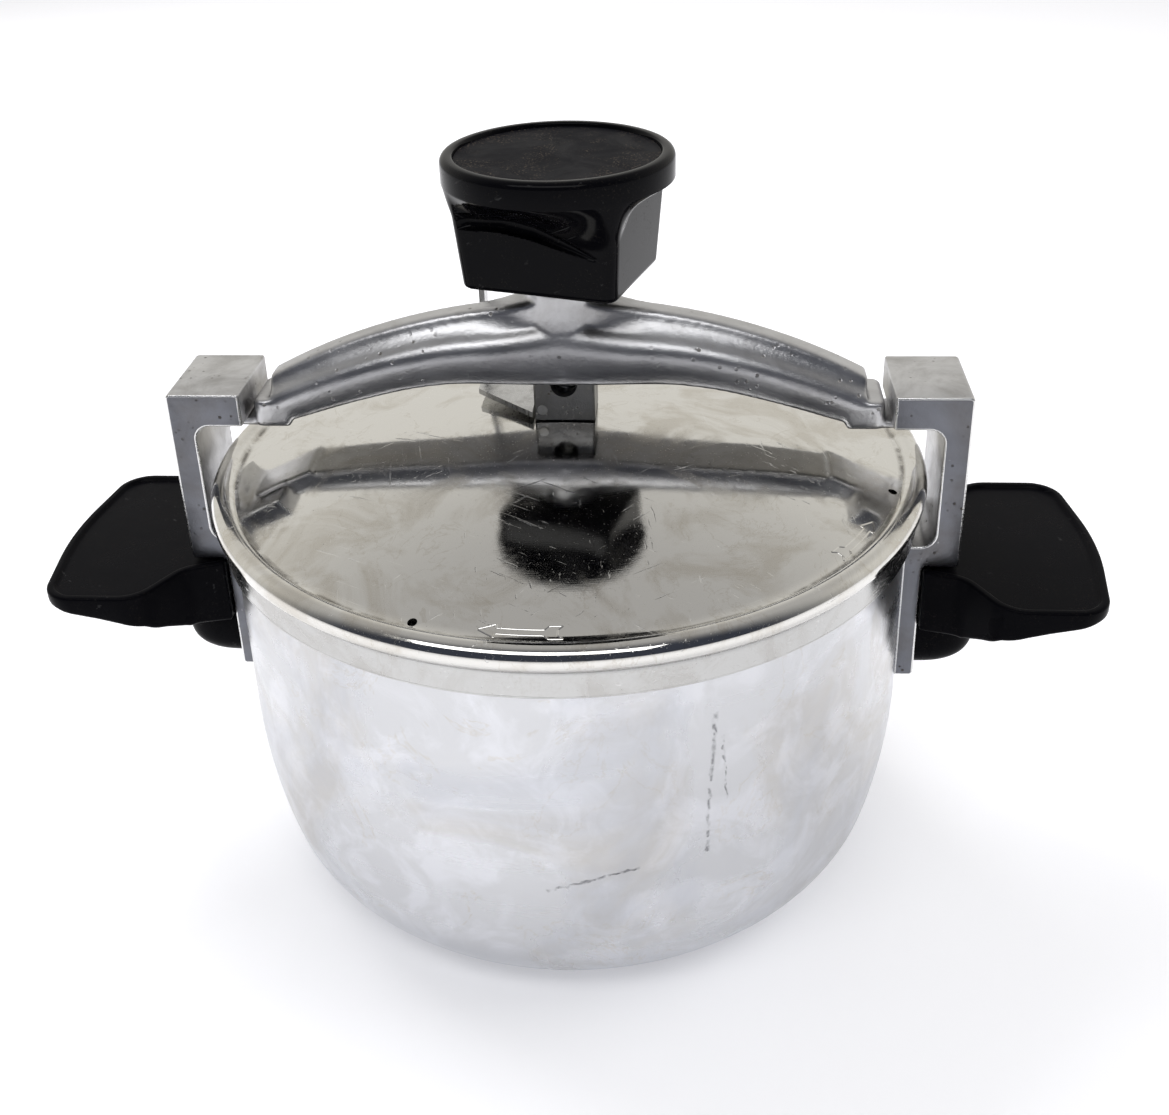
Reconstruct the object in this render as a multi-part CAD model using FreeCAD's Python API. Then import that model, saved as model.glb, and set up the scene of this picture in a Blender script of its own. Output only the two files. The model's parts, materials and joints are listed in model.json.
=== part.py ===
import FreeCAD, Part
import math
import os

from FreeCAD import Vector

# Stovetop pressure cooker with a clamped cover.
# Millimetres. The origin is the centre of the base of the pot, +Z is up,
# +X points to the right bracket and handle, and -Y is the front.

# Pot
pot_radius = 119.2
pot_wall = 2.6
base_thickness = 3.4
base_corner_radius = 32.0
rim_height = 143.4
straight_wall_start = rim_height - 73.4
belly_radius = 190.0
rim_flat_edge = 0.6

# Cover
dome_rise = 23.8
dome_apex = rim_height + dome_rise
dome_fall = dome_rise - 5.5
dome_radius = (pot_radius ** 2 + dome_fall ** 2) / (2 * dome_fall)
cover_thickness = 2.4
bead_radius = 4.5
bead_centre_radius = pot_radius + 1.3
bead_centre_height = rim_height + 4.6
bead_inner_step = 0.5
skirt_clearance = 0.9
skirt_thickness = 2.2
skirt_radius = pot_radius + skirt_clearance + skirt_thickness
skirt_bottom = rim_height - 9.2
relief_hole_radius = 1.5
relief_hole_circle = pot_radius - 5.2
relief_hole_angles = (-109.0, -13.6)

# Gasket
gasket_width = 7.7
gasket_inner_radius = pot_radius - gasket_width
gasket_edge_gap = 0.5
gasket_thickness = 3.0
gasket_lift = 0.3
gasket_lip = 1.0

# Brackets
bracket_width = 35.2
leg_thickness = 5.3
leg_outer = pot_radius + leg_thickness
web_reach = 17.9
web_outer = pot_radius + web_reach
web_thickness = 9.0
hook_thickness = 12.1
hook_bottom = rim_height + 25.2
hook_top = hook_bottom + hook_thickness
hook_overlap = 8.0
hook_end = pot_radius - hook_overlap
foot_bottom = rim_height - 28.3
foot_thickness = 8.4
leg_bottom = rim_height - 74.4
bracket_inner_fillet = 5.0
bracket_edge_round = 2.4
bracket_chamfer = 1.0

# Rivets that hold each bracket to the pot
rivet_radius = 3.0
rivet_head_radius = 5.6
rivet_head_height = 2.2
rivet_collar_step = 0.6
rivet_heights = (leg_bottom + 22.0, leg_bottom + 38.0)
rivet_countersink = 1.5

# Handles
handle_top = foot_bottom + 0.2
handle_tip = leg_outer + 64.9
handle_tip_radius = 130.0
handle_tip_rake = 6.6
handle_half_width = 45.6
handle_corner_radius = 12.0
handle_shoulder = leg_outer + 24.0
handle_shoulder_radius = 14.0
handle_neck_end = leg_outer + 13.0
handle_neck_half_width = 25.5
handle_neck_radius = 9.0
handle_root_half_width = 21.0
handle_tip_thickness = 5.4
handle_shoulder_thickness = 14.0
handle_neck_thickness = 24.8
handle_belly_radius = 14.0
handle_neck_bottom = handle_top - handle_neck_thickness
handle_gap = 0.2
handle_rim_width = 2.8
handle_recess = 1.3
handle_edge_round = 1.0
lobe_bottom = leg_bottom
lobe_reach = 22.8
lobe_half_width = 15.0
lobe_belly = 0.55
lobe_rise = 9.0

# Screws that hold the handles
handle_screw_height = leg_bottom + 10.0
handle_screw_radius = 2.5
handle_screw_tip_gap = 0.2
handle_screw_head_radius = 4.6
handle_screw_head_height = 3.0
handle_screw_head_depth = 9.0
handle_washer_radius = 5.4
handle_washer_thickness = 1.0
handle_counterbore_radius = 5.8
handle_screw_clearance = 0.3
slot_width = 1.2
slot_depth = 1.4

# Valve block on top of the cover
block_length = 21.0
block_depth = 17.0
block_height = 25.4
block_bottom = dome_apex + 0.4
block_top = block_bottom + block_height
block_chamfer = 0.6
seat_height = block_bottom + 2.8
chamber_radius = 5.0
chamber_top = block_bottom + 18.6
outlet_radius = 4.6
outlet_height = block_bottom + 13.3
window_left = 0.8
window_right = 5.6
window_bottom = block_bottom + 4.0
window_top = block_bottom + 10.0
sealing_ring_radius = 6.4
locating_pin_radius = 1.2
locating_pin_x = 8.0
locating_pin_depth = 3.4
locating_pin_end_gap = 0.2
locating_pin_raise = 0.6

# Hollow bolt that holds the block to the cover and is the seat of the valve
inlet_bolt_radius = 4.0
inlet_bore_radius = 2.0
inlet_bolt_across_flats = 13.0
inlet_bolt_head_height = 4.0
inlet_washer_radius = 8.5
inlet_washer_thickness = 1.2

# Relief valve and its lever
poppet_head_radius = 4.2
poppet_head_height = 2.2
poppet_cone_depth = 1.2
poppet_cone_slope = 0.9
poppet_seat_gap = 0.1
poppet_chamfer = 0.4
stem_radius = 1.5
stem_top = chamber_top - 1.8
collar_radius = 4.2
collar_bottom = block_bottom + 7.7
collar_thickness = 1.2
spring_wire_radius = 0.4
spring_radius = 3.2
spring_turns = 4.5
spring_end_gap = 0.1
lever_pin_x = -7.6
lever_pin_z = block_bottom + 3.8
lever_pin_radius = 1.8
lever_pin_head_radius = 2.6
lever_pin_head_height = 0.8
lever_pin_end_gap = 0.3
lever_sheet = 2.0
lever_front = block_depth / 2 + 1.1
lever_back = lever_front + 23.4
lever_arm_x = -31.5
lever_arm_width = 8.0
lever_arm_top = block_bottom + 61.4
lever_bend_radius = 5.0
lever_eye_radius = 3.4
lever_tab_length = 4.0
lever_tab_corner = 2.5
lever_foot_drop = 3.0
lever_block_gap = 0.7
lever_slant_end = 8.0
lever_front_corner = 3.0
lever_finger_border = 0.5
finger_left = 2.6
finger_right = 4.6
finger_tip = -1.5
finger_collar_gap = 0.4
finger_thickness = 2.0
finger_top = collar_bottom - finger_collar_gap
finger_bottom = finger_top - finger_thickness

# Clamp screw, captive in the valve block
screw_radius = 5.0
screw_tip_radius = 4.0
screw_tip_bottom = block_top - 4.6
screw_tip_groove_radius = 2.9
screw_tip_groove_bottom = screw_tip_bottom + 1.2
screw_tip_groove_top = screw_tip_bottom + 3.4
screw_nut_thread_radius = 4.0
screw_shoulder_gap = 0.3
screw_tip_chamfer = 0.8
screw_end_chamfer = 0.6
socket_end_gap = 0.2
retaining_pin_radius = 0.9
retaining_pin_gap = 0.1
running_clearance = 0.08

# Yoke
yoke_ridge_rise = 15.5
yoke_apex = block_top + yoke_ridge_rise
yoke_ridge_end = pot_radius - 16.2
yoke_ridge_fall = 26.14
yoke_top_radius = (yoke_ridge_end ** 2 + yoke_ridge_fall ** 2) / (2 * yoke_ridge_fall)
yoke_middle_bottom = dome_apex + 15.4
yoke_middle_flat = 30.0
yoke_end_bottom = hook_bottom - 3.4
yoke_middle_half_width = 14.5
yoke_end_half_width = 11.0
yoke_ridge_half_width = 5.5
yoke_ridge_round = 2.4
yoke_foot_round = 1.6
yoke_fall_share = 1.75
yoke_stations = 12
end_block_reach = hook_end - 2.2
end_block_top = hook_bottom + 6.9
end_block_inner = yoke_ridge_end - 5.0
end_block_round = 2.5
tab_reach = web_outer - 13.1
tab_gap = 0.3
tab_half_width = 10.0
tab_corner_radius = 4.0
mark_radius = 3.0
mark_depth = 0.4
mark_position = tab_reach - 10.0
hub_radius = 16.0
hub_neck_radius = 12.0
hub_neck_length = 4.0
hub_cove_middle = 1.2
hub_cove_start = yoke_apex - 12.5
hub_cove_middle_rise = 5.0
hub_top = yoke_apex + 6.9
bush_radius = 7.6
bush_flange_radius = 10.0
bush_flange_height = 1.2
yoke_travel = 6.0
pocket_clearance = 0.5

# Knob
knob_radius = 38.2
knob_gap = 1.4
knob_bottom = hub_top + bush_flange_height + knob_gap
knob_height = 42.5
knob_top = knob_bottom + knob_height
knob_band_height = 8.5
knob_band_bevel = 1.4
knob_length = 53.5
knob_depth = 45.5
knob_corner_radius = 4.0
knob_foot_round = 1.5
knob_draft = 2.6
knob_grip_height = knob_height - knob_band_height
knob_flare_height = 19.0
knob_flare_radius = 20.0
knob_flare_hollow = 2.6
knob_turn_angle = -17.0
knob_cap_radius = 33.6
knob_cap_recess = 1.4
knob_cap_thickness = 2.0
knob_cap_gap = 0.15
knob_well_radius = 12.0
knob_well_depth = 12.0
knob_groove_radius = 3.2
knob_groove_depth = 2.2
knob_groove_height = knob_bottom + 20.5
knob_groove_rise = 3.4
nut_across_flats = 13.0
nut_height = 5.0
nut_washer_radius = 9.0
nut_washer_thickness = 1.4
screw_shoulder = knob_bottom + 22.0
screw_end_above_nut = 0.7

UP = Vector(0, 0, 1)
RIGHT = Vector(1, 0, 0)
BACK = Vector(0, 1, 0)
ORIGIN = Vector(0, 0, 0)

web_inner = web_outer - web_thickness
foot_top = foot_bottom + foot_thickness
tab_top = hook_bottom - tab_gap


def line(start, end):
    return Part.LineSegment(start, end).toShape()


def arc(start, middle, end):
    return Part.Arc(start, middle, end).toShape()


def at(radius, height):
    """A point of a turned profile."""
    return Vector(radius, 0, height)


def on_circle(centre, radius, degrees):
    """A point of a profile on a circle in the XZ plane."""
    angle = math.radians(degrees)
    return Vector(centre.x + radius * math.cos(angle), 0, centre.z + radius * math.sin(angle))


def turned(edges):
    """A solid of revolution about Z from a closed profile in the XZ plane."""
    face = Part.Face(Part.Wire(Part.__sortEdges__(edges)))
    return face.revolve(ORIGIN, UP, 360)


def polygon_turned(points):
    loop = Part.makePolygon([at(r, z) for r, z in points + points[:1]])
    return Part.Face(loop).revolve(ORIGIN, UP, 360)


def block(x0, x1, y0, y1, z0, z1):
    return Part.makeBox(x1 - x0, y1 - y0, z1 - z0, Vector(x0, y0, z0))


def cylinder_z(radius, z0, z1, x=0.0, y=0.0):
    return Part.makeCylinder(radius, z1 - z0, Vector(x, y, z0), UP)


def cylinder_y(radius, y0, y1, x, z):
    return Part.makeCylinder(radius, y1 - y0, Vector(x, y0, z), BACK)


def cylinder_x(radius, x0, x1, y, z):
    return Part.makeCylinder(radius, x1 - x0, Vector(x0, y, z), RIGHT)


def mirrored(shape):
    return shape.mirror(ORIGIN, RIGHT)


def extruded_y(wire, half_width):
    """A prism along Y, from -half_width to +half_width, of a wire in the XZ plane."""
    prism = Part.Face(wire).extrude(Vector(0, 2 * half_width, 0))
    prism.translate(Vector(0, -half_width, 0))
    return prism


def rounded_polygon(points):
    """A closed wire in the XZ plane. Each point is x, z and the radius of its corner."""
    count = len(points)
    edges = []
    joints = []
    for index in range(count):
        x, z, radius = points[index]
        corner = Vector(x, 0, z)
        before = Vector(points[index - 1][0], 0, points[index - 1][1]).sub(corner).normalize()
        after_point = points[(index + 1) % count]
        after = Vector(after_point[0], 0, after_point[1]).sub(corner).normalize()
        if radius == 0:
            joints.append((corner, corner))
            continue
        half_angle = before.getAngle(after) / 2
        reach = radius / math.tan(half_angle)
        start = corner.add(before * reach)
        end = corner.add(after * reach)
        bisector = before.add(after).normalize()
        middle = corner.add(bisector * (radius / math.sin(half_angle) - radius))
        edges.append(arc(start, middle, end))
        joints.append((start, end))
    for index in range(count):
        start = joints[index][1]
        end = joints[(index + 1) % count][0]
        edges.append(line(start, end))
    return Part.Wire(Part.__sortEdges__(edges))


def save(name, shape):
    shape.exportStep("parts/" + name + ".step")


# Pot -----------------------------------------------------------------------

def pot_outline(inset, floor):
    """Edges of the pot's wall from the axis to the rim, offset inwards by inset."""
    corner = base_corner_radius
    belly_centre = at(pot_radius - belly_radius, straight_wall_start)
    reach = math.sqrt((belly_radius - corner) ** 2 - (straight_wall_start - corner) ** 2)
    corner_centre = at(belly_centre.x + reach, corner)
    slope = math.degrees(math.atan2(corner - straight_wall_start, reach))
    foot = Vector(corner_centre.x, 0, floor)
    small = corner - inset
    start_angle = -90.0
    if floor > inset:
        start_angle = -math.degrees(math.asin((corner - floor) / small))
        foot = on_circle(corner_centre, small, start_angle)
    meet = on_circle(corner_centre, small, slope)
    halfway = on_circle(corner_centre, small, (start_angle + slope) / 2)
    top_of_belly = on_circle(belly_centre, belly_radius - inset, 0)
    belly_middle = on_circle(belly_centre, belly_radius - inset, slope / 2)
    rim = at(pot_radius - inset, rim_height)
    return [
        line(at(0, floor), foot),
        arc(foot, halfway, meet),
        arc(meet, belly_middle, top_of_belly),
        line(top_of_belly, rim),
    ]


def pot_shell():
    outer = pot_outline(0, 0)
    inner = pot_outline(pot_wall, base_thickness)
    closing = [
        line(at(0, 0), at(0, base_thickness)),
        line(at(pot_radius, rim_height), at(pot_radius - pot_wall, rim_height)),
    ]
    shell = turned(outer + inner + closing)
    rim_edges = [
        edge for edge in shell.Edges
        if edge.BoundBox.ZMin > rim_height - rim_flat_edge and edge.Length > pot_radius
    ]
    shell = shell.makeFillet(rim_flat_edge, rim_edges)
    for side in (1, -1):
        for height in rivet_heights:
            shell = shell.cut(rivet_hole(side, height))
    return shell


# Brackets ------------------------------------------------------------------

def rivet_hole(side, height):
    hole = cylinder_x(rivet_radius, pot_radius - 3 * pot_wall, leg_outer + 1, 0, height)
    return hole if side > 0 else mirrored(hole)


def countersink(height):
    return Part.makeCone(
        rivet_radius, rivet_radius + rivet_countersink, rivet_countersink,
        Vector(leg_outer - rivet_countersink, 0, height), RIGHT,
    )


def bracket():
    rounding = bracket_edge_round
    profile = rounded_polygon([
        (hook_end, hook_top, rounding),
        (hook_end, hook_bottom, rounding),
        (web_inner, hook_bottom, bracket_inner_fillet),
        (web_inner, foot_top, bracket_inner_fillet),
        (pot_radius - pot_wall, foot_top, 0),
        (pot_radius - pot_wall, leg_bottom, 0),
        (leg_outer, leg_bottom, rounding),
        (leg_outer, foot_bottom, rounding),
        (web_outer, foot_bottom, rounding),
        (web_outer, hook_top, rounding),
    ])
    half_width = bracket_width / 2
    body = extruded_y(profile, half_width)
    side_edges = [
        edge for edge in body.Edges
        if edge.BoundBox.YLength < 0.01 and edge.BoundBox.XMax > pot_radius - pot_wall / 2
        or edge.BoundBox.YLength < 0.01 and edge.BoundBox.ZMin > foot_top + 1
    ]
    body = body.makeChamfer(bracket_chamfer, side_edges)
    body = body.cut(cylinder_z(pot_radius, leg_bottom - 1, foot_top + 1))
    for height in rivet_heights:
        body = body.cut(rivet_hole(1, height)).cut(countersink(height))
    thread = cylinder_x(
        handle_screw_radius, pot_radius - 1, leg_outer + 1, 0, handle_screw_height)
    return body.cut(thread)


def bracket_rivet(height):
    """A rivet through the wall and the leg, with a domed head inside the pot."""
    inner_face = pot_radius - pot_wall
    step = rivet_collar_step
    shank = cylinder_x(rivet_radius, inner_face - step, leg_outer, 0, height)
    sphere_radius = (rivet_head_radius ** 2 + rivet_head_height ** 2) / (2 * rivet_head_height)
    sphere_centre = Vector(inner_face - rivet_head_height + sphere_radius, 0, height)
    reach = rivet_head_radius
    head_space = block(
        inner_face - rivet_head_height - 1, inner_face - step / 2,
        -reach, reach, height - reach, height + reach)
    head = Part.makeSphere(sphere_radius, sphere_centre).common(head_space)
    collar = cylinder_x(rivet_head_radius - step, inner_face - step, inner_face + step, 0, height)
    collar = collar.common(cylinder_z(inner_face, height - reach, height + reach))
    return shank.fuse([head, collar, countersink(height)]).removeSplitter()


def bracket_rivets():
    return Part.Compound([bracket_rivet(height) for height in rivet_heights])


# Handles -------------------------------------------------------------------

def handle_plan():
    """The outline of the handle seen from above, as a wire at the height of its top."""
    root = leg_outer + handle_gap
    back = [
        (root, handle_root_half_width, 0),
        (handle_neck_end, handle_neck_half_width, handle_neck_radius),
        (handle_shoulder, handle_half_width, handle_shoulder_radius),
        (handle_tip - handle_tip_rake, handle_half_width, handle_corner_radius),
    ]
    front = [(x, -y, radius) for x, y, radius in reversed(back)]
    plan = rounded_polygon(back + [(handle_tip, 0, handle_tip_radius)] + front)
    plan.rotate(ORIGIN, RIGHT, -90)
    plan.translate(Vector(0, 0, handle_top))
    return plan


def handle():
    depth = handle_top - handle_neck_bottom
    plan = handle_plan()
    plate = Part.Face(plan).extrude(Vector(0, 0, -depth))
    beyond = handle_tip + 1
    below = handle_neck_bottom - 1
    underside = rounded_polygon([
        (handle_neck_end, below, 0),
        (handle_neck_end, handle_neck_bottom, 0),
        (handle_shoulder, handle_top - handle_shoulder_thickness, handle_belly_radius),
        (beyond, handle_top - handle_tip_thickness, 0),
        (beyond, below, 0),
    ])
    body = plate.cut(extruded_y(underside, handle_half_width + 1))
    top_edges = [
        edge for edge in body.Edges
        if edge.BoundBox.ZMin > handle_top - 0.01 and edge.BoundBox.XMax > web_outer
    ]
    body = body.makeFillet(handle_edge_round, top_edges)
    panel = Part.Face(plan.makeOffset2D(-handle_rim_width)).extrude(Vector(0, 0, handle_recess + 1))
    panel.translate(Vector(0, 0, -handle_recess))
    side = handle_half_width + 1
    web_side = block(0, web_outer + handle_gap, -side, side, handle_neck_bottom, handle_top + 2)
    body = body.cut(panel.cut(web_side))
    # The neck passes below the foot of the bracket and stops at its web.
    beside_foot = bracket_width / 2 + handle_gap
    foot_space = block(
        0, web_outer + handle_gap, -beside_foot, beside_foot,
        foot_bottom - handle_gap, handle_top + 1)
    corner_space = block(
        0, leg_outer + bracket_edge_round, -beside_foot, beside_foot,
        foot_bottom - bracket_edge_round, handle_top + 1)
    body = body.cut([foot_space, corner_space])
    body = body.fuse(handle_lobe()).removeSplitter()
    counterbore = cylinder_x(
        handle_counterbore_radius, leg_outer + handle_screw_head_depth,
        leg_outer + 2 * lobe_reach, 0, handle_screw_height)
    shank = cylinder_x(
        handle_screw_radius + handle_screw_clearance, leg_outer - 1, leg_outer + lobe_reach,
        0, handle_screw_height)
    return body.cut([counterbore, shank])


def handle_lobe():
    """The rounded lower part of the handle, flat against the leg of the bracket."""
    root = leg_outer + handle_gap
    top = handle_neck_bottom + handle_screw_head_radius
    start = Vector(root, 0, lobe_bottom)
    belly = root + lobe_reach * lobe_belly
    side_top = Vector(root + lobe_reach, 0, handle_neck_bottom - handle_screw_head_radius)
    curve = Part.BezierCurve()
    curve.setPoles([
        start,
        Vector(belly, 0, lobe_bottom),
        Vector(root + lobe_reach, 0, lobe_bottom + lobe_rise),
        side_top,
    ])
    shelf = Vector(belly, 0, top)
    wire = Part.Wire([
        curve.toShape(),
        line(side_top, shelf),
        line(shelf, Vector(root, 0, top)),
        line(Vector(root, 0, top), start),
    ])
    return extruded_y(wire, lobe_half_width)


def handle_screw():
    """A slotted cheese-head screw along X, threaded into the leg of the bracket."""
    seat = leg_outer + handle_screw_head_depth + handle_washer_thickness
    shank = cylinder_x(
        handle_screw_radius, pot_radius + handle_screw_tip_gap,
        seat + handle_screw_head_height / 2, 0, handle_screw_height)
    head = cylinder_x(
        handle_screw_head_radius, seat, seat + handle_screw_head_height, 0, handle_screw_height)
    top = seat + handle_screw_head_height
    slot = block(
        top - slot_depth, top + 1, -handle_screw_head_radius, handle_screw_head_radius,
        handle_screw_height - slot_width / 2, handle_screw_height + slot_width / 2)
    return head.fuse(shank).cut(slot).removeSplitter()


def handle_washer():
    seat = leg_outer + handle_screw_head_depth
    ring = cylinder_x(
        handle_washer_radius, seat, seat + handle_washer_thickness, 0, handle_screw_height)
    hole = cylinder_x(
        handle_screw_radius + handle_screw_clearance, seat - 1, seat + 3, 0, handle_screw_height)
    return ring.cut(hole)


# Cover ---------------------------------------------------------------------

def dome_height(radius, inset=0.0):
    """Height of the cover's outer face, or of its underside, at a radius."""
    centre = dome_apex - dome_radius
    return centre + math.sqrt((dome_radius - inset) ** 2 - radius ** 2)


def dome_point(radius, inset=0.0):
    return at(radius, dome_height(radius, inset))


def bead_meets_dome():
    """The radius at which the bead rises out of the dome, found by halving."""
    low = bead_centre_radius - bead_radius
    high = bead_centre_radius
    for _ in range(40):
        middle = (low + high) / 2
        rise = math.sqrt(bead_radius ** 2 - (middle - bead_centre_radius) ** 2)
        if bead_centre_height + rise < dome_height(middle):
            low = middle
        else:
            high = middle
    return low


def cover_shell():
    bead_centre = at(bead_centre_radius, bead_centre_height)
    crease_radius = bead_meets_dome()
    crease = dome_point(crease_radius)
    bead_top = on_circle(bead_centre, bead_radius, 70)
    bead_side = on_circle(bead_centre, bead_radius, 0)
    fall = math.sqrt(bead_radius ** 2 - (skirt_radius - bead_centre_radius) ** 2)
    bead_foot = at(skirt_radius, bead_centre_height - fall)
    skirt_inner = pot_radius + skirt_clearance
    hollow = bead_radius - cover_thickness
    hollow_foot = at(skirt_inner, bead_centre_height - math.sqrt(
        hollow ** 2 - (skirt_inner - bead_centre_radius) ** 2))
    hollow_side = on_circle(bead_centre, hollow, 0)
    hollow_left = on_circle(bead_centre, hollow, 180)
    under = bead_centre_radius - hollow - bead_inner_step
    edges = [
        arc(dome_point(0), dome_point(crease_radius / 2), crease),
        arc(crease, bead_top, bead_side),
        arc(bead_side, on_circle(bead_centre, bead_radius, -30), bead_foot),
        line(bead_foot, at(skirt_radius, skirt_bottom)),
        line(at(skirt_radius, skirt_bottom), at(skirt_inner, skirt_bottom)),
        line(at(skirt_inner, skirt_bottom), hollow_foot),
        arc(hollow_foot, on_circle(bead_centre, hollow, -45), hollow_side),
        arc(hollow_side, on_circle(bead_centre, hollow, 90), hollow_left),
        line(hollow_left, dome_point(under, cover_thickness)),
        arc(
            dome_point(under, cover_thickness),
            dome_point(under / 2, cover_thickness),
            dome_point(0, cover_thickness),
        ),
        line(dome_point(0, cover_thickness), dome_point(0)),
    ]
    shell = turned(edges)
    shell = shell.cut(cylinder_z(inlet_bolt_radius, dome_apex - 10, dome_apex + 1))
    shell = shell.cut(cylinder_z(
        locating_pin_radius, locating_pin_bottom(), dome_apex + 1, locating_pin_x))
    for degrees in relief_hole_angles:
        x = relief_hole_circle * math.cos(math.radians(degrees))
        y = relief_hole_circle * math.sin(math.radians(degrees))
        shell = shell.cut(cylinder_z(relief_hole_radius, skirt_bottom, dome_apex, x, y))
    return shell


def cover_gasket():
    bottom = rim_height + gasket_lift
    inner = gasket_inner_radius
    outer = pot_radius + skirt_clearance - gasket_edge_gap
    top = bottom + gasket_thickness
    lip = gasket_lip
    return polygon_turned([
        (inner, bottom + lip),
        (inner + lip, bottom),
        (outer, bottom),
        (outer, top),
        (inner + lip, top),
        (inner, top - lip),
    ])


# Valve block ---------------------------------------------------------------

def valve_block():
    half_length = block_length / 2
    half_depth = block_depth / 2
    body = block(-half_length, half_length, -half_depth, half_depth, block_bottom, block_top)
    upright = [
        edge for edge in body.Edges
        if edge.BoundBox.ZLength > 1 or edge.BoundBox.ZMin > block_top - 0.01
    ]
    body = body.makeChamfer(block_chamfer, upright)
    inlet = cylinder_z(inlet_bolt_radius, block_bottom - 1, seat_height + 1)
    locating_hole = cylinder_z(
        locating_pin_radius, block_bottom - 1, block_bottom + locating_pin_depth, locating_pin_x)
    chamber = cylinder_z(chamber_radius, seat_height, chamber_top)
    outlet = cylinder_y(outlet_radius, -half_depth - 1, 0, 0, outlet_height)
    window = block(window_left, window_right, 0, half_depth + 1, window_bottom, window_top)
    pin_hole = cylinder_y(
        lever_pin_radius, -half_depth - 1, half_depth + 1, lever_pin_x, lever_pin_z)
    socket = cylinder_z(
        screw_tip_radius + running_clearance, screw_tip_bottom - socket_end_gap, block_top + 1)
    body = body.cut([inlet, locating_hole, chamber, outlet, window, pin_hole, socket])
    pin_y = retaining_pin_offset()
    retaining_hole = cylinder_x(
        retaining_pin_radius, -half_length - 1, half_length + 1, pin_y, retaining_pin_height())
    return body.cut(retaining_hole)


def retaining_pin_height():
    return (screw_tip_groove_bottom + screw_tip_groove_top) / 2


def retaining_pin_offset():
    return screw_tip_groove_radius + retaining_pin_radius + retaining_pin_gap


def screw_retaining_pin():
    half = block_length / 2 - retaining_pin_gap
    return cylinder_x(
        retaining_pin_radius, -half, half, retaining_pin_offset(), retaining_pin_height())


def sealing_ring():
    """A thin ring between the dome of the cover and the flat foot of the block."""
    inner = inlet_bolt_radius
    outer = sealing_ring_radius
    edges = [
        arc(dome_point(inner), dome_point((inner + outer) / 2), dome_point(outer)),
        line(dome_point(outer), at(outer, block_bottom)),
        line(at(outer, block_bottom), at(inner, block_bottom)),
        line(at(inner, block_bottom), dome_point(inner)),
    ]
    return turned(edges)


def inlet_washer_top():
    return dome_height(inlet_washer_radius, cover_thickness)


def inlet_washer():
    top = inlet_washer_top()
    ring = cylinder_z(inlet_washer_radius, top - inlet_washer_thickness, top)
    return ring.cut(cylinder_z(inlet_bolt_radius, top - 5, top + 1))


def hexagon(across_flats, bottom, height):
    corner_radius = across_flats / math.sqrt(3)
    corners = []
    for index in range(7):
        angle = math.radians(60 * index)
        corners.append(
            Vector(corner_radius * math.cos(angle), corner_radius * math.sin(angle), bottom))
    return Part.Face(Part.makePolygon(corners)).extrude(Vector(0, 0, height))


def inlet_bolt():
    """A hollow hexagon bolt from below: it clamps the block, and its top is the seat."""
    seat = inlet_washer_top() - inlet_washer_thickness
    head = hexagon(inlet_bolt_across_flats, seat - inlet_bolt_head_height, inlet_bolt_head_height)
    shank = cylinder_z(inlet_bolt_radius, seat - 1, seat_height)
    bore = cylinder_z(inlet_bore_radius, seat - inlet_bolt_head_height - 1, seat_height + 1)
    return head.fuse(shank).cut(bore).removeSplitter()


def locating_pin_bottom():
    return dome_height(locating_pin_x, cover_thickness) + locating_pin_raise


def locating_pin():
    top = block_bottom + locating_pin_depth - locating_pin_end_gap
    return cylinder_z(locating_pin_radius, locating_pin_bottom(), top, locating_pin_x)


def valve_poppet():
    head_top = seat_height + poppet_head_height
    cone_base = inlet_bore_radius - 2 * poppet_seat_gap
    chamfer = poppet_chamfer
    return polygon_turned([
        (0, seat_height - poppet_cone_depth),
        (cone_base - poppet_cone_slope, seat_height - poppet_cone_depth),
        (cone_base, seat_height + poppet_seat_gap),
        (poppet_head_radius, seat_height + poppet_seat_gap),
        (poppet_head_radius, head_top - chamfer),
        (stem_radius, head_top),
        (stem_radius, collar_bottom),
        (collar_radius, collar_bottom),
        (collar_radius, collar_bottom + collar_thickness),
        (stem_radius, collar_bottom + collar_thickness),
        (stem_radius, stem_top - chamfer),
        (stem_radius - chamfer, stem_top),
        (0, stem_top),
    ])


def valve_spring():
    end = spring_wire_radius + spring_end_gap
    bottom = collar_bottom + collar_thickness + end
    top = chamber_top - end
    pitch = (top - bottom) / spring_turns
    helix = Part.makeHelix(pitch, top - bottom, spring_radius)
    helix.translate(Vector(0, 0, bottom))
    start = Vector(spring_radius, 0, bottom)
    section = Part.Wire(Part.makeCircle(spring_wire_radius, start, BACK))
    pipe = Part.BRepOffsetAPI.MakePipeShell(Part.Wire(helix.Edges))
    pipe.setFrenetMode(True)
    pipe.add(section)
    pipe.build()
    pipe.makeSolid()
    return pipe.shape()


# Release lever -------------------------------------------------------------

def lever_foot(bottom):
    """The flat plate of the lever: behind the block, and on its left a slanted front edge."""
    left = lever_arm_x - lever_sheet / 2
    beside_block = -block_length / 2 - lever_block_gap
    right = finger_right + lever_finger_border
    outline = [
        (beside_block, -block_depth / 2),
        (left + lever_front_corner, lever_slant_end),
        (left, lever_slant_end + lever_front_corner),
        (left, lever_back),
        (right, lever_back),
        (right, lever_front),
        (beside_block, lever_front),
    ]
    corners = [Vector(x, y, bottom) for x, y in outline + outline[:1]]
    return Part.Face(Part.makePolygon(corners)).extrude(Vector(0, 0, lever_sheet))


def lever_bend(centre_x, centre_z, front, quarter):
    """A quarter of a bent sheet along Y, from front to the back of the lever."""
    length = lever_back - front
    start = Vector(centre_x, front, centre_z)
    outer = Part.makeCylinder(lever_bend_radius, length, start, BACK)
    inner = Part.makeCylinder(lever_bend_radius - lever_sheet, length, start, BACK)
    return outer.cut(inner).common(quarter)


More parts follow.
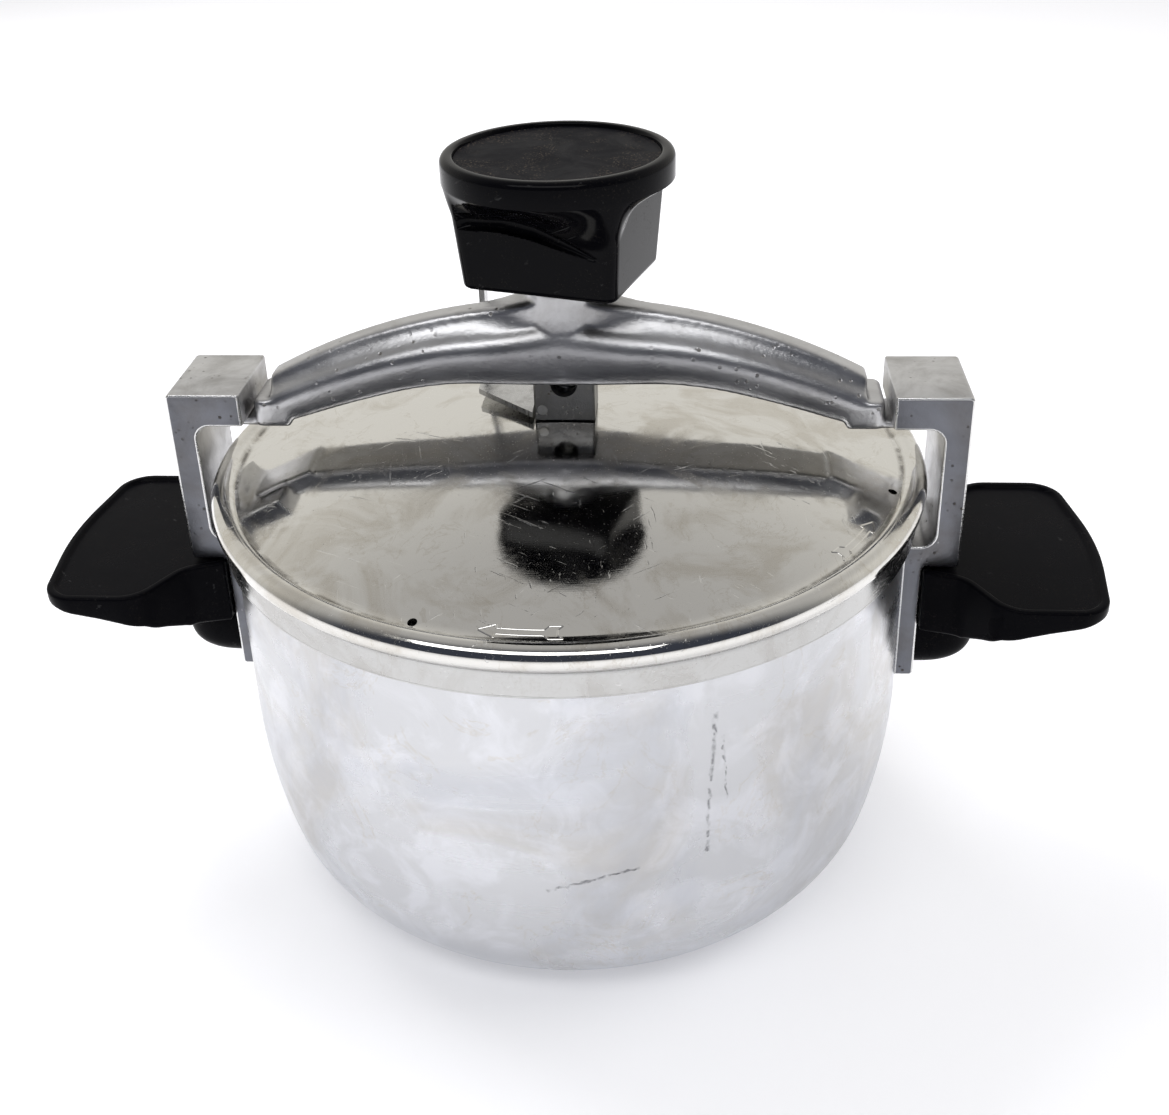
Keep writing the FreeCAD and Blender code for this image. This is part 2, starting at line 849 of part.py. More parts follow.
def release_lever():
    """A bent sheet: a foot beside and behind the block, an arm that stands up behind the yoke,
    and a finger that reaches through the block's window under the collar of the valve."""
    left = lever_arm_x - lever_sheet / 2
    right = left + lever_sheet
    bottom = lever_pin_z - lever_foot_drop
    top = bottom + lever_sheet
    bend_x = left + lever_bend_radius
    bend_z = bottom + lever_bend_radius
    tab_x = right - lever_bend_radius
    tab_z = lever_arm_top - lever_bend_radius
    arm_front = lever_back - lever_arm_width
    foot = lever_foot(bottom).cut(
        block(left - 1, bend_x, arm_front, lever_back + 1, bottom - 1, top + 1))
    foot_bend = lever_bend(
        bend_x, bend_z, arm_front, block(left, bend_x, arm_front, lever_back, bottom, bend_z))
    arm = block(left, right, arm_front, lever_back, bend_z, tab_z)
    tab_bend = lever_bend(
        tab_x, tab_z, arm_front, block(tab_x, right, arm_front, lever_back, tab_z, lever_arm_top))
    tab_end = tab_x - lever_tab_length
    tab = block(tab_end, tab_x, arm_front, lever_back, lever_arm_top - lever_sheet, lever_arm_top)
    eye = cylinder_y(lever_eye_radius, lever_front, lever_back, lever_pin_x, lever_pin_z)
    finger_root = block(
        finger_left, finger_right, lever_front, lever_front + lever_sheet, bottom, finger_top)
    finger = block(finger_left, finger_right, finger_tip, lever_front, finger_bottom, finger_top)
    lever = foot.fuse([foot_bend, arm, tab_bend, tab, eye, finger_root, finger])
    bore = cylinder_y(
        lever_pin_radius + running_clearance, lever_front - 1, lever_back + 1,
        lever_pin_x, lever_pin_z)
    lever = lever.removeSplitter().cut(bore)
    tab_corners = [
        edge for edge in lever.Edges
        if abs(edge.BoundBox.XMax - tab_end) < 0.01 and edge.BoundBox.ZLength > lever_sheet - 0.01
    ]
    return lever.makeFillet(lever_tab_corner, tab_corners)


def lever_pin():
    front = -block_depth / 2 - lever_pin_end_gap
    back = lever_back + lever_pin_end_gap
    head = cylinder_y(
        lever_pin_head_radius, back, back + lever_pin_head_height, lever_pin_x, lever_pin_z)
    shank = cylinder_y(
        lever_pin_radius, front, back + lever_pin_head_height / 2, lever_pin_x, lever_pin_z)
    return shank.fuse(head).removeSplitter()


# Yoke ----------------------------------------------------------------------

def yoke_top(x):
    return yoke_apex - yoke_top_radius + math.sqrt(yoke_top_radius ** 2 - x ** 2)


def yoke_bottom(x):
    """Flat in the middle, then falling in one smooth curve to the ends."""
    distance = abs(x)
    if distance <= yoke_middle_flat:
        return yoke_middle_bottom
    share = (distance - yoke_middle_flat) / (yoke_ridge_end - yoke_middle_flat)
    fall = yoke_middle_bottom - yoke_end_bottom
    return yoke_middle_bottom - fall * (
        yoke_fall_share * share ** 2 - (yoke_fall_share - 1) * share ** 3)


def yoke_half_width(x):
    share = abs(x) / yoke_ridge_end
    return yoke_middle_half_width + (yoke_end_half_width - yoke_middle_half_width) * share


def yoke_section(x):
    """A section of the arch at x: wide and flat below, narrow and rounded on the ridge."""
    top = yoke_top(x)
    bottom = yoke_bottom(x)
    wide = yoke_half_width(x)
    narrow = yoke_ridge_half_width
    profile = rounded_polygon([
        (-wide, bottom, yoke_foot_round),
        (wide, bottom, yoke_foot_round),
        (narrow, top, yoke_ridge_round),
        (-narrow, top, yoke_ridge_round),
    ])
    profile.rotate(ORIGIN, UP, 90)
    profile.translate(Vector(x, 0, 0))
    return profile


def yoke_end():
    """The right end of the yoke: a thick block, and a thin tab that goes under the hook."""
    half = yoke_end_half_width
    end_block = block(
        end_block_inner, end_block_reach, -half, half, yoke_end_bottom, end_block_top)
    outer_edges = [
        edge for edge in end_block.Edges
        if edge.BoundBox.ZMin > end_block_top - 0.01 and edge.BoundBox.XMax > end_block_inner + 0.1
        or edge.BoundBox.ZLength > 1 and edge.BoundBox.XMin > end_block_reach - 0.01
    ]
    end_block = end_block.makeFillet(end_block_round, outer_edges)
    tab = block(
        end_block_inner, tab_reach, -tab_half_width, tab_half_width, yoke_end_bottom, tab_top)
    tab_corners = [
        edge for edge in tab.Edges
        if edge.BoundBox.ZLength > 1 and edge.BoundBox.XMin > tab_reach - 0.01
    ]
    tab = tab.makeFillet(tab_corner_radius, tab_corners)
    return end_block.fuse(tab)


def yoke_hub():
    cove_bottom = at(hub_radius, hub_cove_start + hub_neck_length)
    cove_middle = at(
        hub_neck_radius + hub_cove_middle,
        hub_cove_start + hub_neck_length + hub_cove_middle_rise)
    cove_top = at(hub_neck_radius, hub_top - hub_neck_length)
    edges = [
        line(at(0, yoke_middle_bottom), at(hub_radius, yoke_middle_bottom)),
        line(at(hub_radius, yoke_middle_bottom), cove_bottom),
        arc(cove_bottom, cove_middle, cove_top),
        line(cove_top, at(hub_neck_radius, hub_top)),
        line(at(hub_neck_radius, hub_top), at(0, hub_top)),
        line(at(0, hub_top), at(0, yoke_middle_bottom)),
    ]
    return turned(edges)


def yoke():
    sections = []
    for step in range(-yoke_stations, yoke_stations + 1):
        x = yoke_ridge_end * step / yoke_stations
        sections.append(yoke_section(x))
    arch = Part.makeLoft(sections, True, False)
    right_end = yoke_end()
    body = arch.fuse([right_end, mirrored(right_end), yoke_hub()]).removeSplitter()
    half_length = block_length / 2 + pocket_clearance
    half_depth = block_depth / 2 + pocket_clearance
    pocket_top = block_top + yoke_travel + pocket_clearance
    pocket = block(
        -half_length, half_length, -half_depth, half_depth, yoke_middle_bottom - 5, pocket_top)
    bore = cylinder_z(bush_radius, pocket_top - 1, hub_top + 1)
    body = body.cut([pocket, bore])
    for x in (-mark_position, mark_position):
        mark = cylinder_z(mark_radius, yoke_end_bottom - 1, yoke_end_bottom + mark_depth, x, 0)
        body = body.cut(mark)
    return body


def yoke_bush():
    bottom = block_top + yoke_travel + pocket_clearance
    barrel = cylinder_z(bush_radius, bottom, hub_top)
    flange = cylinder_z(bush_flange_radius, hub_top, hub_top + bush_flange_height)
    thread = cylinder_z(screw_radius + running_clearance, bottom - 1, hub_top + 5)
    return barrel.fuse(flange).cut(thread).removeSplitter()


# Knob ----------------------------------------------------------------------

def knob_outline(height, growth):
    """A rounded rectangle at a height, larger than the foot of the knob by growth a side."""
    half_length = knob_length / 2 + growth
    half_depth = knob_depth / 2 + growth
    corner = knob_corner_radius
    outline = rounded_polygon([
        (-half_length, -half_depth, corner),
        (half_length, -half_depth, corner),
        (half_length, half_depth, corner),
        (-half_length, half_depth, corner),
    ])
    outline.rotate(ORIGIN, RIGHT, -90)
    outline.translate(Vector(0, 0, height))
    return outline


def knob_groove():
    """A finger groove that wanders across the broad face and fades out to the right."""
    face = -knob_depth / 2 - knob_draft * (knob_groove_height - knob_bottom) / knob_grip_height
    reach = knob_length / 2 - knob_corner_radius
    bite = knob_groove_radius - knob_groove_depth
    rise = knob_groove_rise
    start = Vector(-reach, face - bite, knob_groove_height + rise / 2)
    points = [
        start,
        Vector(-reach / 2, face - bite, knob_groove_height + rise),
        Vector(reach / 4, face - knob_groove_radius / 2, knob_groove_height),
        Vector(reach, face - knob_groove_radius, knob_groove_height - rise),
    ]
    curve = Part.BSplineCurve()
    curve.interpolate(points)
    path = Part.Wire(curve.toShape())
    tangent = curve.tangent(curve.FirstParameter)[0]
    section = Part.Wire(Part.makeCircle(knob_groove_radius, start, tangent))
    sweep = path.makePipeShell([section], True, True)
    return sweep.fuse(Part.makeSphere(knob_groove_radius, start))


def knob_body():
    band_bottom = knob_top - knob_band_height
    grip_top = knob_bottom + knob_grip_height
    outlines = [knob_outline(knob_bottom, 0), knob_outline(grip_top, knob_draft)]
    grip = Part.makeLoft(outlines, True, True)
    foot_edges = [edge for edge in grip.Edges if edge.BoundBox.ZMax < knob_bottom + 0.1]
    grip = grip.makeFillet(knob_foot_round, foot_edges)
    flare_bottom = band_bottom - knob_flare_height
    flare_middle = at((knob_flare_radius + knob_radius) / 2 - knob_flare_hollow,
                      (flare_bottom + band_bottom) / 2 + knob_flare_hollow)
    flare = turned([
        line(at(0, flare_bottom), at(knob_flare_radius, flare_bottom)),
        arc(at(knob_flare_radius, flare_bottom), flare_middle, at(knob_radius, band_bottom)),
        line(at(knob_radius, band_bottom), at(knob_radius, knob_top - knob_band_bevel)),
        line(at(knob_radius, knob_top - knob_band_bevel), at(knob_radius - knob_band_bevel, knob_top)),
        line(at(knob_radius - knob_band_bevel, knob_top), at(0, knob_top)),
        line(at(0, knob_top), at(0, flare_bottom)),
    ])
    body = grip.fuse(flare).removeSplitter()
    cap_bottom = knob_top - knob_cap_recess - knob_cap_thickness
    cap_seat = cylinder_z(knob_cap_radius + knob_cap_gap, cap_bottom, knob_top + 1)
    well = cylinder_z(knob_well_radius, cap_bottom - knob_well_depth, knob_top)
    bore = cylinder_z(screw_radius, knob_bottom - 1, screw_shoulder)
    bolt = cylinder_z(screw_nut_thread_radius, knob_bottom, knob_top)
    body = body.cut([cap_seat, well, bore, bolt, knob_groove()])
    body.rotate(ORIGIN, UP, knob_turn_angle)
    return body


def well_floor():
    return knob_top - knob_cap_recess - knob_cap_thickness - knob_well_depth


def knob_cap():
    bottom = knob_top - knob_cap_recess - knob_cap_thickness
    return cylinder_z(knob_cap_radius, bottom, knob_top - knob_cap_recess)


def knob_washer():
    floor = well_floor()
    ring = cylinder_z(nut_washer_radius, floor, floor + nut_washer_thickness)
    return ring.cut(cylinder_z(screw_nut_thread_radius, floor - 1, floor + 5))


def knob_nut():
    floor = well_floor() + nut_washer_thickness
    prism = hexagon(nut_across_flats, floor, nut_height)
    return prism.cut(cylinder_z(screw_nut_thread_radius, floor - 1, floor + nut_height + 1))


def clamp_screw():
    above_block = block_top + screw_shoulder_gap
    top = well_floor() + nut_washer_thickness + nut_height + screw_end_above_nut
    return polygon_turned([
        (0, screw_tip_bottom),
        (screw_tip_radius - screw_tip_chamfer, screw_tip_bottom),
        (screw_tip_radius, screw_tip_bottom + screw_tip_chamfer),
        (screw_tip_radius, screw_tip_groove_bottom),
        (screw_tip_groove_radius, screw_tip_groove_bottom),
        (screw_tip_groove_radius, screw_tip_groove_top),
        (screw_tip_radius, screw_tip_groove_top),
        (screw_tip_radius, above_block),
        (screw_radius, above_block),
        (screw_radius, screw_shoulder),
        (screw_nut_thread_radius, screw_shoulder),
        (screw_nut_thread_radius, top - screw_end_chamfer),
        (screw_nut_thread_radius - screw_end_chamfer, top),
        (0, top),
    ])


def main():
    os.makedirs("parts", exist_ok=True)
    save("pot_shell", pot_shell())
    sided = {
        "bracket": bracket(),
        "bracket_rivets": bracket_rivets(),
        "handle": handle(),
        "handle_screw": handle_screw(),
        "handle_washer": handle_washer(),
    }
    for name, shape in sided.items():
        save("right_" + name, shape)
        save("left_" + name, mirrored(shape))
    save("cover_shell", cover_shell())
    save("cover_gasket", cover_gasket())
    save("valve_block", valve_block())
    save("valve_block_sealing_ring", sealing_ring())
    save("inlet_bolt", inlet_bolt())
    save("inlet_washer", inlet_washer())
    save("block_locating_pin", locating_pin())
    save("screw_retaining_pin", screw_retaining_pin())
    save("lever_pin", lever_pin())
    save("release_lever", release_lever())
    save("valve_poppet", valve_poppet())
    save("valve_spring", valve_spring())
    save("yoke", yoke())
    save("yoke_threaded_bush", yoke_bush())
    save("knob_body", knob_body())
    save("knob_cap", knob_cap())
    save("knob_washer", knob_washer())
    save("knob_nut", knob_nut())
    save("clamp_screw", clamp_screw())


main()
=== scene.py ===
import json
import math

import bmesh
import bpy
import numpy as np
from bpy.props import FloatProperty, FloatVectorProperty, IntProperty, PointerProperty
from mathutils import Matrix, Vector


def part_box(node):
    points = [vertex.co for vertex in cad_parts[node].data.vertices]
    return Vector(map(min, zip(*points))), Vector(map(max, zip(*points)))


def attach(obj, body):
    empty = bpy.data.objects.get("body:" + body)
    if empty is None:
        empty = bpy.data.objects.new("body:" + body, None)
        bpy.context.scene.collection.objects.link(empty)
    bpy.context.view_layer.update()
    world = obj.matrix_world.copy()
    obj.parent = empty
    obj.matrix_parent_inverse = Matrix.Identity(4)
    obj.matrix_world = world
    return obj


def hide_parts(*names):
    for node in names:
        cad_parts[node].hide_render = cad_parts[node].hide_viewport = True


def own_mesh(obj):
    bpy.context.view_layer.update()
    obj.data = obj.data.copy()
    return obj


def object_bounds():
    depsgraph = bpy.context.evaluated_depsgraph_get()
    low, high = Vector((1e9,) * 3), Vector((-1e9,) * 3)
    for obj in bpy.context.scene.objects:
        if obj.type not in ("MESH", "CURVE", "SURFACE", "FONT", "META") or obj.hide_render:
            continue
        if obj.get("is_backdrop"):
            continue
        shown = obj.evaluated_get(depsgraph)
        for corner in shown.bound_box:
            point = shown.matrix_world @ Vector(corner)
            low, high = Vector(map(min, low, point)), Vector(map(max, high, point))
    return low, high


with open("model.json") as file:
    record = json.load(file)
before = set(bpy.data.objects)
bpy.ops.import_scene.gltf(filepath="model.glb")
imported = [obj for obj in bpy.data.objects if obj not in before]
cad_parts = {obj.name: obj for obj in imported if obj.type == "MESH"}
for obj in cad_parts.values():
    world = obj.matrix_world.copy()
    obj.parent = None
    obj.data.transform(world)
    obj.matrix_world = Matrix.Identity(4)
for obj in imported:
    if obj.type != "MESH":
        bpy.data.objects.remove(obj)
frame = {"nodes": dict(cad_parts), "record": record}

cad_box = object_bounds()

bl_info = {
    "name": "Pressure cooker",
    "version": (1, 0, 0),
    "blender": (4, 5, 0),
    "location": "3D View > Sidebar > Cooker",
    "description": "Builds a stovetop pressure cooker with a clamped cover, piece by piece",
    "category": "Object",
}


# Sizes and colours ----------------------------------------------------------

def length(name, description, millimetres):
    return FloatProperty(
        name=name, description=description, default=millimetres / 1000,
        min=0.0, precision=4, unit="LENGTH")


def colour(name, description, shade):
    return FloatVectorProperty(
        name=name, description=description, default=(*shade, 1.0),
        size=4, min=0.0, max=1.0, subtype="COLOR")


class CookerSizes(bpy.types.PropertyGroup):
    """The sizes of the cooker that a user may change."""

    pot_radius: length("Pot radius", "Outer radius of the pot's wall", 119.2)
    pot_wall: length("Pot wall", "Thickness of the pot's wall", 2.6)
    pot_base: length("Pot base", "Thickness of the pot's base", 3.4)
    base_corner: length("Base corner", "Radius between the base and the wall", 32.0)
    wall_start: length("Wall start", "Height where the wall becomes upright", 70.0)
    belly_radius: length("Belly radius", "Radius of the wall's lower curve", 190.0)
    rim_height: length("Rim height", "Height of the pot's rim", 143.4)
    dome_apex: length("Dome apex", "Height of the middle of the cover", 167.2)
    dome_radius: length("Dome radius", "Radius of the cover's curve", 397.36)
    cover_sheet: length("Cover sheet", "Thickness of the cover", 2.4)
    bead_circle: length("Bead circle", "Distance of the cover's bead from the axis", 120.5)
    bead_height: length("Bead height", "Height of the centre of the bead", 148.0)
    bead_radius: length("Bead radius", "Radius of the bead's section", 4.5)
    skirt_radius: length("Skirt radius", "Outer radius of the cover's skirt", 122.3)
    skirt_bottom: length("Skirt bottom", "Height of the skirt's lower edge", 134.2)
    hole_radius: length("Relief hole radius", "Radius of the small holes near the edge", 1.5)
    hole_circle: length("Relief hole circle", "Distance of those holes from the axis", 114.0)
    arrow_circle: length("Arrow circle", "Distance of the raised arrows from the axis", 112.6)
    bracket_width: length("Bracket width", "Width of a bracket", 35.2)
    bracket_edge: length("Bracket edge", "Rounding along a bracket's edges", 1.2)
    bracket_fillet: length("Bracket fillet", "Rounding inside a bracket's mouth", 5.0)
    hook_end: length("Hook end", "Distance of the hook's tip from the axis", 111.2)
    hook_bottom: length("Hook bottom", "Height of the hook's lower face", 168.6)
    hook_top: length("Hook top", "Height of the hook's upper face", 180.7)
    web_inner: length("Web inner", "Distance of the web's inner face", 128.1)
    web_outer: length("Web outer", "Distance of the web's outer face", 137.1)
    foot_top: length("Foot top", "Height of the foot's upper face", 123.5)
    foot_bottom: length("Foot bottom", "Height of the foot's lower face", 115.1)
    leg_inner: length("Leg inner", "Distance of the plane where the leg meets the wall", 117.5)
    leg_outer: length("Leg outer", "Distance of the leg's outer face", 124.5)
    leg_bottom: length("Leg bottom", "Height of the leg's lower end", 69.0)
    yoke_apex: length("Yoke apex", "Height of the arch's ridge in the middle", 208.5)
    yoke_curve: length("Yoke curve", "Radius of the arch's ridge", 216.0)
    yoke_bottom: length("Yoke bottom", "Height of the arch's underside in the middle", 182.6)
    yoke_end_bottom: length("Yoke end bottom", "Height of the underside at the ends", 165.2)
    yoke_flat: length("Yoke flat", "Half the length of the underside's flat middle", 30.0)
    yoke_reach: length("Yoke reach", "Half the length of the arch", 103.0)
    hub_neck: length("Hub neck", "Radius of the hub's neck", 12.0)
    hub_top: length("Hub top", "Height of the hub", 215.4)
    knob_radius: length("Knob radius", "Radius of the knob's band", 38.2)
    knob_top: length("Knob top", "Height of the knob", 260.5)
    knob_bottom: length("Knob bottom", "Height of the knob's foot", 218.0)
    knob_length: length("Knob length", "Length of the grip at its foot", 53.5)
    knob_depth: length("Knob depth", "Depth of the grip at its foot", 45.5)
    handle_top: length("Handle top", "Height of a handle's rim", 115.3)
    handle_tip: length("Handle tip", "Distance of a handle's end", 189.4)
    handle_width: length("Handle width", "Width of a handle", 91.2)
    handle_rim: length("Handle rim", "Width of the rim round a handle's panel", 2.8)
    handle_panel: length("Handle panel", "Depth of a handle's sunken panel", 1.3)
    segments: IntProperty(
        name="Segments", description="Steps round a turned piece", default=256, min=24, max=512)


class CookerColours(bpy.types.PropertyGroup):
    """The colours of the cooker's metals and mouldings."""

    pot: colour("Pot", "Spun aluminium of the pot", (0.60, 0.605, 0.62))
    cover: colour("Cover", "Polished aluminium of the cover", (0.73, 0.72, 0.69))
    stain: colour("Stain", "Old water and cooking stains", (0.50, 0.46, 0.39))
    cast: colour("Cast metal", "Tumbled aluminium of the yoke", (0.58, 0.58, 0.59))
    bracket: colour("Brackets", "Cast aluminium of the brackets", (0.68, 0.68, 0.69))
    # Painted shade: the broad faces of the brackets take this darker colour, standing for the dim
    # reflection they show.
    side: colour("Bracket sides", "Darker shaded sides of the brackets", (0.19, 0.197, 0.22))
    worn: colour("Worn edges", "Bare edges of the castings", (0.82, 0.82, 0.81))
    dirt: colour("Dirt", "Grease caught in corners and pits", (0.10, 0.085, 0.065))
    block: colour("Valve block", "Darkened aluminium of the valve block", (0.26, 0.26, 0.26))
    steel: colour("Steel", "Screws, pins and washers", (0.55, 0.55, 0.54))
    lever: colour("Lever", "Dull steel of the release lever", (0.58, 0.58, 0.58))
    brass: colour("Brass", "Threaded bush", (0.70, 0.55, 0.25))
    rubber: colour("Rubber", "Gasket and sealing ring", (0.03, 0.03, 0.03))
    handle: colour("Handles", "Black moulding of the handles", (0.003, 0.003, 0.0042))
    knob: colour("Knob", "Black moulding of the knob", (0.003, 0.003, 0.004))
    cap: colour("Cap", "Matte cap on the knob", (0.005, 0.005, 0.007))
    floor: colour("Floor", "Plain floor", (0.88, 0.88, 0.90))


class Millimetres:
    """Reads a size of the cooker in millimetres by the name of its property."""

    def __getattr__(self, name):
        return getattr(bpy.context.scene.cooker_sizes, name) * 1000


size = Millimetres()


def paint(name):
    return tuple(getattr(bpy.context.scene.cooker_colours, name))


# Node trees -----------------------------------------------------------------

def place(tree, kind, inputs=None, out=0, **settings):
    """Adds a node, fills or links its inputs, and gives one of its outputs."""
    made = tree.nodes.new(kind)
    for key, value in settings.items():
        setattr(made, key, value)
    for key, value in (inputs or {}).items():
        socket = made.inputs[key]
        if isinstance(value, bpy.types.NodeSocket):
            tree.links.new(value, socket)
        else:
            socket.default_value = value
    return made.outputs[out]


def maths(tree, operation, first, second=0.0, clamp=False):
    return place(
        tree, "ShaderNodeMath", {0: first, 1: second}, operation=operation, use_clamp=clamp)


def vectors(tree, operation, first, second=(0.0, 0.0, 0.0), out=0):
    return place(tree, "ShaderNodeVectorMath", {0: first, 1: second}, out, operation=operation)


def spread(tree, value, low, high, to_low=0.0, to_high=1.0):
    """A smooth step of value from low to high."""
    return place(
        tree, "ShaderNodeMapRange",
        {"Value": value, "From Min": low, "From Max": high, "To Min": to_low, "To Max": to_high},
        interpolation_type="SMOOTHSTEP")


def tinted(tree, mask, base, over, blend="MIX"):
    return place(
        tree, "ShaderNodeMix", {0: mask, 6: base, 7: over}, 2,
        data_type="RGBA", blend_type=blend)


def noise(tree, vector, scale, detail=2.0, rough=0.5, warp=0.0, out=0):
    return place(
        tree, "ShaderNodeTexNoise",
        {"Vector": vector, "Scale": scale, "Detail": detail, "Roughness": rough, "Distortion": warp},
        out)


def stretched(tree, vector, scale=(1.0, 1.0, 1.0), turn=(0.0, 0.0, 0.0), shift=(0.0, 0.0, 0.0)):
    return place(
        tree, "ShaderNodeMapping",
        {"Vector": vector, "Location": shift, "Rotation": turn, "Scale": scale})


def new_group(name, inputs, outputs, kind="ShaderNodeTree"):
    """An empty node group with named inputs and outputs; gives the tree and its input node."""
    tree = bpy.data.node_groups.new(name, kind)
    for label, socket_type, value in inputs:
        socket = tree.interface.new_socket(label, in_out="INPUT", socket_type=socket_type)
        if value is not None:
            socket.default_value = value
    for label, socket_type in outputs:
        tree.interface.new_socket(label, in_out="OUTPUT", socket_type=socket_type)
    return tree, tree.nodes.new("NodeGroupInput").outputs


def end_group(tree, results):
    last = tree.nodes.new("NodeGroupOutput")
    for label, socket in results.items():
        tree.links.new(socket, last.inputs[label])
    return tree


def end_build(tree, geometry, material):
    """Ends a geometry tree: real meshes in one material."""
    solid = place(tree, "GeometryNodeRealizeInstances", {"Geometry": geometry})
    painted = place(tree, "GeometryNodeSetMaterial", {"Geometry": solid, "Material": material})
    return end_group(tree, {"Piece": painted})


def use(tree, group, inputs, out=0):
    """Places a shader node group in a material."""
    made = tree.nodes.new("ShaderNodeGroup")
    made.node_tree = group
    for key, value in inputs.items():
        if isinstance(value, bpy.types.NodeSocket):
            tree.links.new(value, made.inputs[key])
        else:
            made.inputs[key].default_value = value
    return made.outputs[out]


def scratches_group():
    """Short thin streaks that run one way, broken up by a slower pattern."""
    tree, given = new_group(
        "Scratches",
        [("Vector", "NodeSocketVector", None), ("Turn", "NodeSocketVector", (0, 0, 0)),
         ("Spacing", "NodeSocketFloat", 220.0), ("Amount", "NodeSocketFloat", 0.5)],
        [("Mask", "NodeSocketFloat")])
    turned = place(tree, "ShaderNodeMapping", {"Vector": given["Vector"], "Rotation": given["Turn"]})
    long_way = stretched(tree, turned, (0.035, 1.0, 1.0))
    streaks = noise(tree, long_way, given["Spacing"], 3.0, 0.6, 0.12)
    patches = noise(tree, given["Vector"], 26.0, 2.0, 0.6)
    floor = maths(tree, "MULTIPLY_ADD", given["Amount"], -0.16)
    floor.node.inputs[2].default_value = 0.80
    mask = maths(tree, "SUBTRACT", streaks, floor)
    mask = maths(tree, "MULTIPLY", mask, 18.0, True)
    mask = maths(tree, "MULTIPLY", mask, spread(tree, patches, 0.38, 0.62))
    return end_group(tree, {"Mask": mask})


def stains_group():
    """Cloudy stains with darker rims, as dried water leaves."""
    tree, given = new_group(
        "Stains",
        [("Vector", "NodeSocketVector", None), ("Density", "NodeSocketFloat", 22.0),
         ("Amount", "NodeSocketFloat", 0.5)],
        [("Mask", "NodeSocketFloat"), ("Rims", "NodeSocketFloat")])
    cloud = noise(tree, given["Vector"], given["Density"], 6.0, 0.62, 0.9)
    level = maths(tree, "MULTIPLY_ADD", given["Amount"], -0.22)
    level.node.inputs[2].default_value = 0.66
    above = maths(tree, "SUBTRACT", cloud, level)
    mask = maths(tree, "MULTIPLY", above, 7.0, True)
    rim = maths(tree, "ABSOLUTE", above)
    rims = spread(tree, rim, 0.012, 0.0)
    return end_group(tree, {"Mask": mask, "Rims": rims})


def grain_group():
    """The grain and pits of a tumbled casting."""
    tree, given = new_group(
        "Cast grain",
        [("Vector", "NodeSocketVector", None), ("Density", "NodeSocketFloat", 900.0),
         ("Pits", "NodeSocketFloat", 0.5)],
        [("Height", "NodeSocketFloat"), ("Pits", "NodeSocketFloat")])
    fine = noise(tree, given["Vector"], given["Density"], 4.0, 0.6)
    slow = noise(tree, given["Vector"], maths(tree, "MULTIPLY", given["Density"], 0.12), 3.0, 0.5)
    holes = place(
        tree, "ShaderNodeTexVoronoi",
        {"Vector": given["Vector"], "Scale": maths(tree, "MULTIPLY", given["Density"], 0.35)})
    picked = noise(tree, given["Vector"], maths(tree, "MULTIPLY", given["Density"], 0.07), 2.0, 0.5)
    gate = maths(tree, "MULTIPLY", given["Pits"], spread(tree, picked, 0.52, 0.66))
    pits = maths(tree, "MULTIPLY", spread(tree, holes, 0.24, 0.10), gate)
    height = maths(tree, "ADD", maths(tree, "MULTIPLY", fine, 0.35), slow)
    height = maths(tree, "SUBTRACT", height, pits)
    return end_group(tree, {"Height": height, "Pits": pits})


def gouge_group():
    """A ragged line between two points, as a blow or a scrape leaves."""
    tree, given = new_group(
        "Gouge",
        [("Vector", "NodeSocketVector", None), ("Start", "NodeSocketVector", (0, 0, 0)),
         ("End", "NodeSocketVector", (0, 0, 0.01)), ("Width", "NodeSocketFloat", 0.0005)],
        [("Mask", "NodeSocketFloat")])
    run = vectors(tree, "SUBTRACT", given["End"], given["Start"])
    shaken = vectors(
        tree, "MULTIPLY",
        vectors(tree, "SUBTRACT", noise(tree, given["Vector"], 320.0, 3.0, 0.6, 0.0, 1), (0.5, 0.5, 0.5)),
        (0.0028, 0.0028, 0.0028))
    moved = vectors(tree, "ADD", given["Vector"], shaken)
    away = vectors(tree, "SUBTRACT", moved, given["Start"])
    along = vectors(tree, "DOT_PRODUCT", away, run, 1)
    whole = vectors(tree, "DOT_PRODUCT", run, run, 1)
    share = maths(tree, "DIVIDE", along, whole, True)
    foot = place(
        tree, "ShaderNodeVectorMath", {0: run, "Scale": share}, operation="SCALE")
    gap = vectors(tree, "DISTANCE", away, foot, 1)
    broken = spread(tree, noise(tree, given["Vector"], 420.0, 2.0, 0.6), 0.30, 0.58)
    mask = place(
        tree, "ShaderNodeMapRange",
        {"Value": gap, "From Min": given["Width"], "From Max": 0.0, "To Min": 0.0, "To Max": 1.0},
        interpolation_type="SMOOTHSTEP")
    return end_group(tree, {"Mask": maths(tree, "MULTIPLY", mask, broken)})


groups = {}


def build_groups():
    groups["scratches"] = scratches_group()
    groups["stains"] = stains_group()
    groups["grain"] = grain_group()
    groups["gouge"] = gouge_group()


# Materials ------------------------------------------------------------------

def new_material(name, metallic=0.0, specular=0.5, ior=1.5):
    """A material with its shader; gives the material, its tree, its shader and its coordinates."""
    material = bpy.data.materials.new(name)
    material.use_nodes = True
    tree = material.node_tree
    shader = tree.nodes["Principled BSDF"]
    shader.inputs["Metallic"].default_value = metallic
    shader.inputs["Specular IOR Level"].default_value = specular
    shader.inputs["IOR"].default_value = ior
    where = tree.nodes.new("ShaderNodeTexCoord").outputs["Object"]
    return material, tree, shader, where


def finish_material(tree, shader, shade, roughness, height, depth, strength=1.0):
    tree.links.new(shade, shader.inputs["Base Color"])
    tree.links.new(roughness, shader.inputs["Roughness"])
    bump = place(
        tree, "ShaderNodeBump", {"Strength": strength, "Distance": depth, "Height": height})
    tree.links.new(bump, shader.inputs["Normal"])


def summed(tree, total, *terms):
    """A value with shares of other values added. Each term is a value and its share."""
    for term, share in terms:
        total = maths(tree, "ADD", total, maths(tree, "MULTIPLY", term, share))
    return total


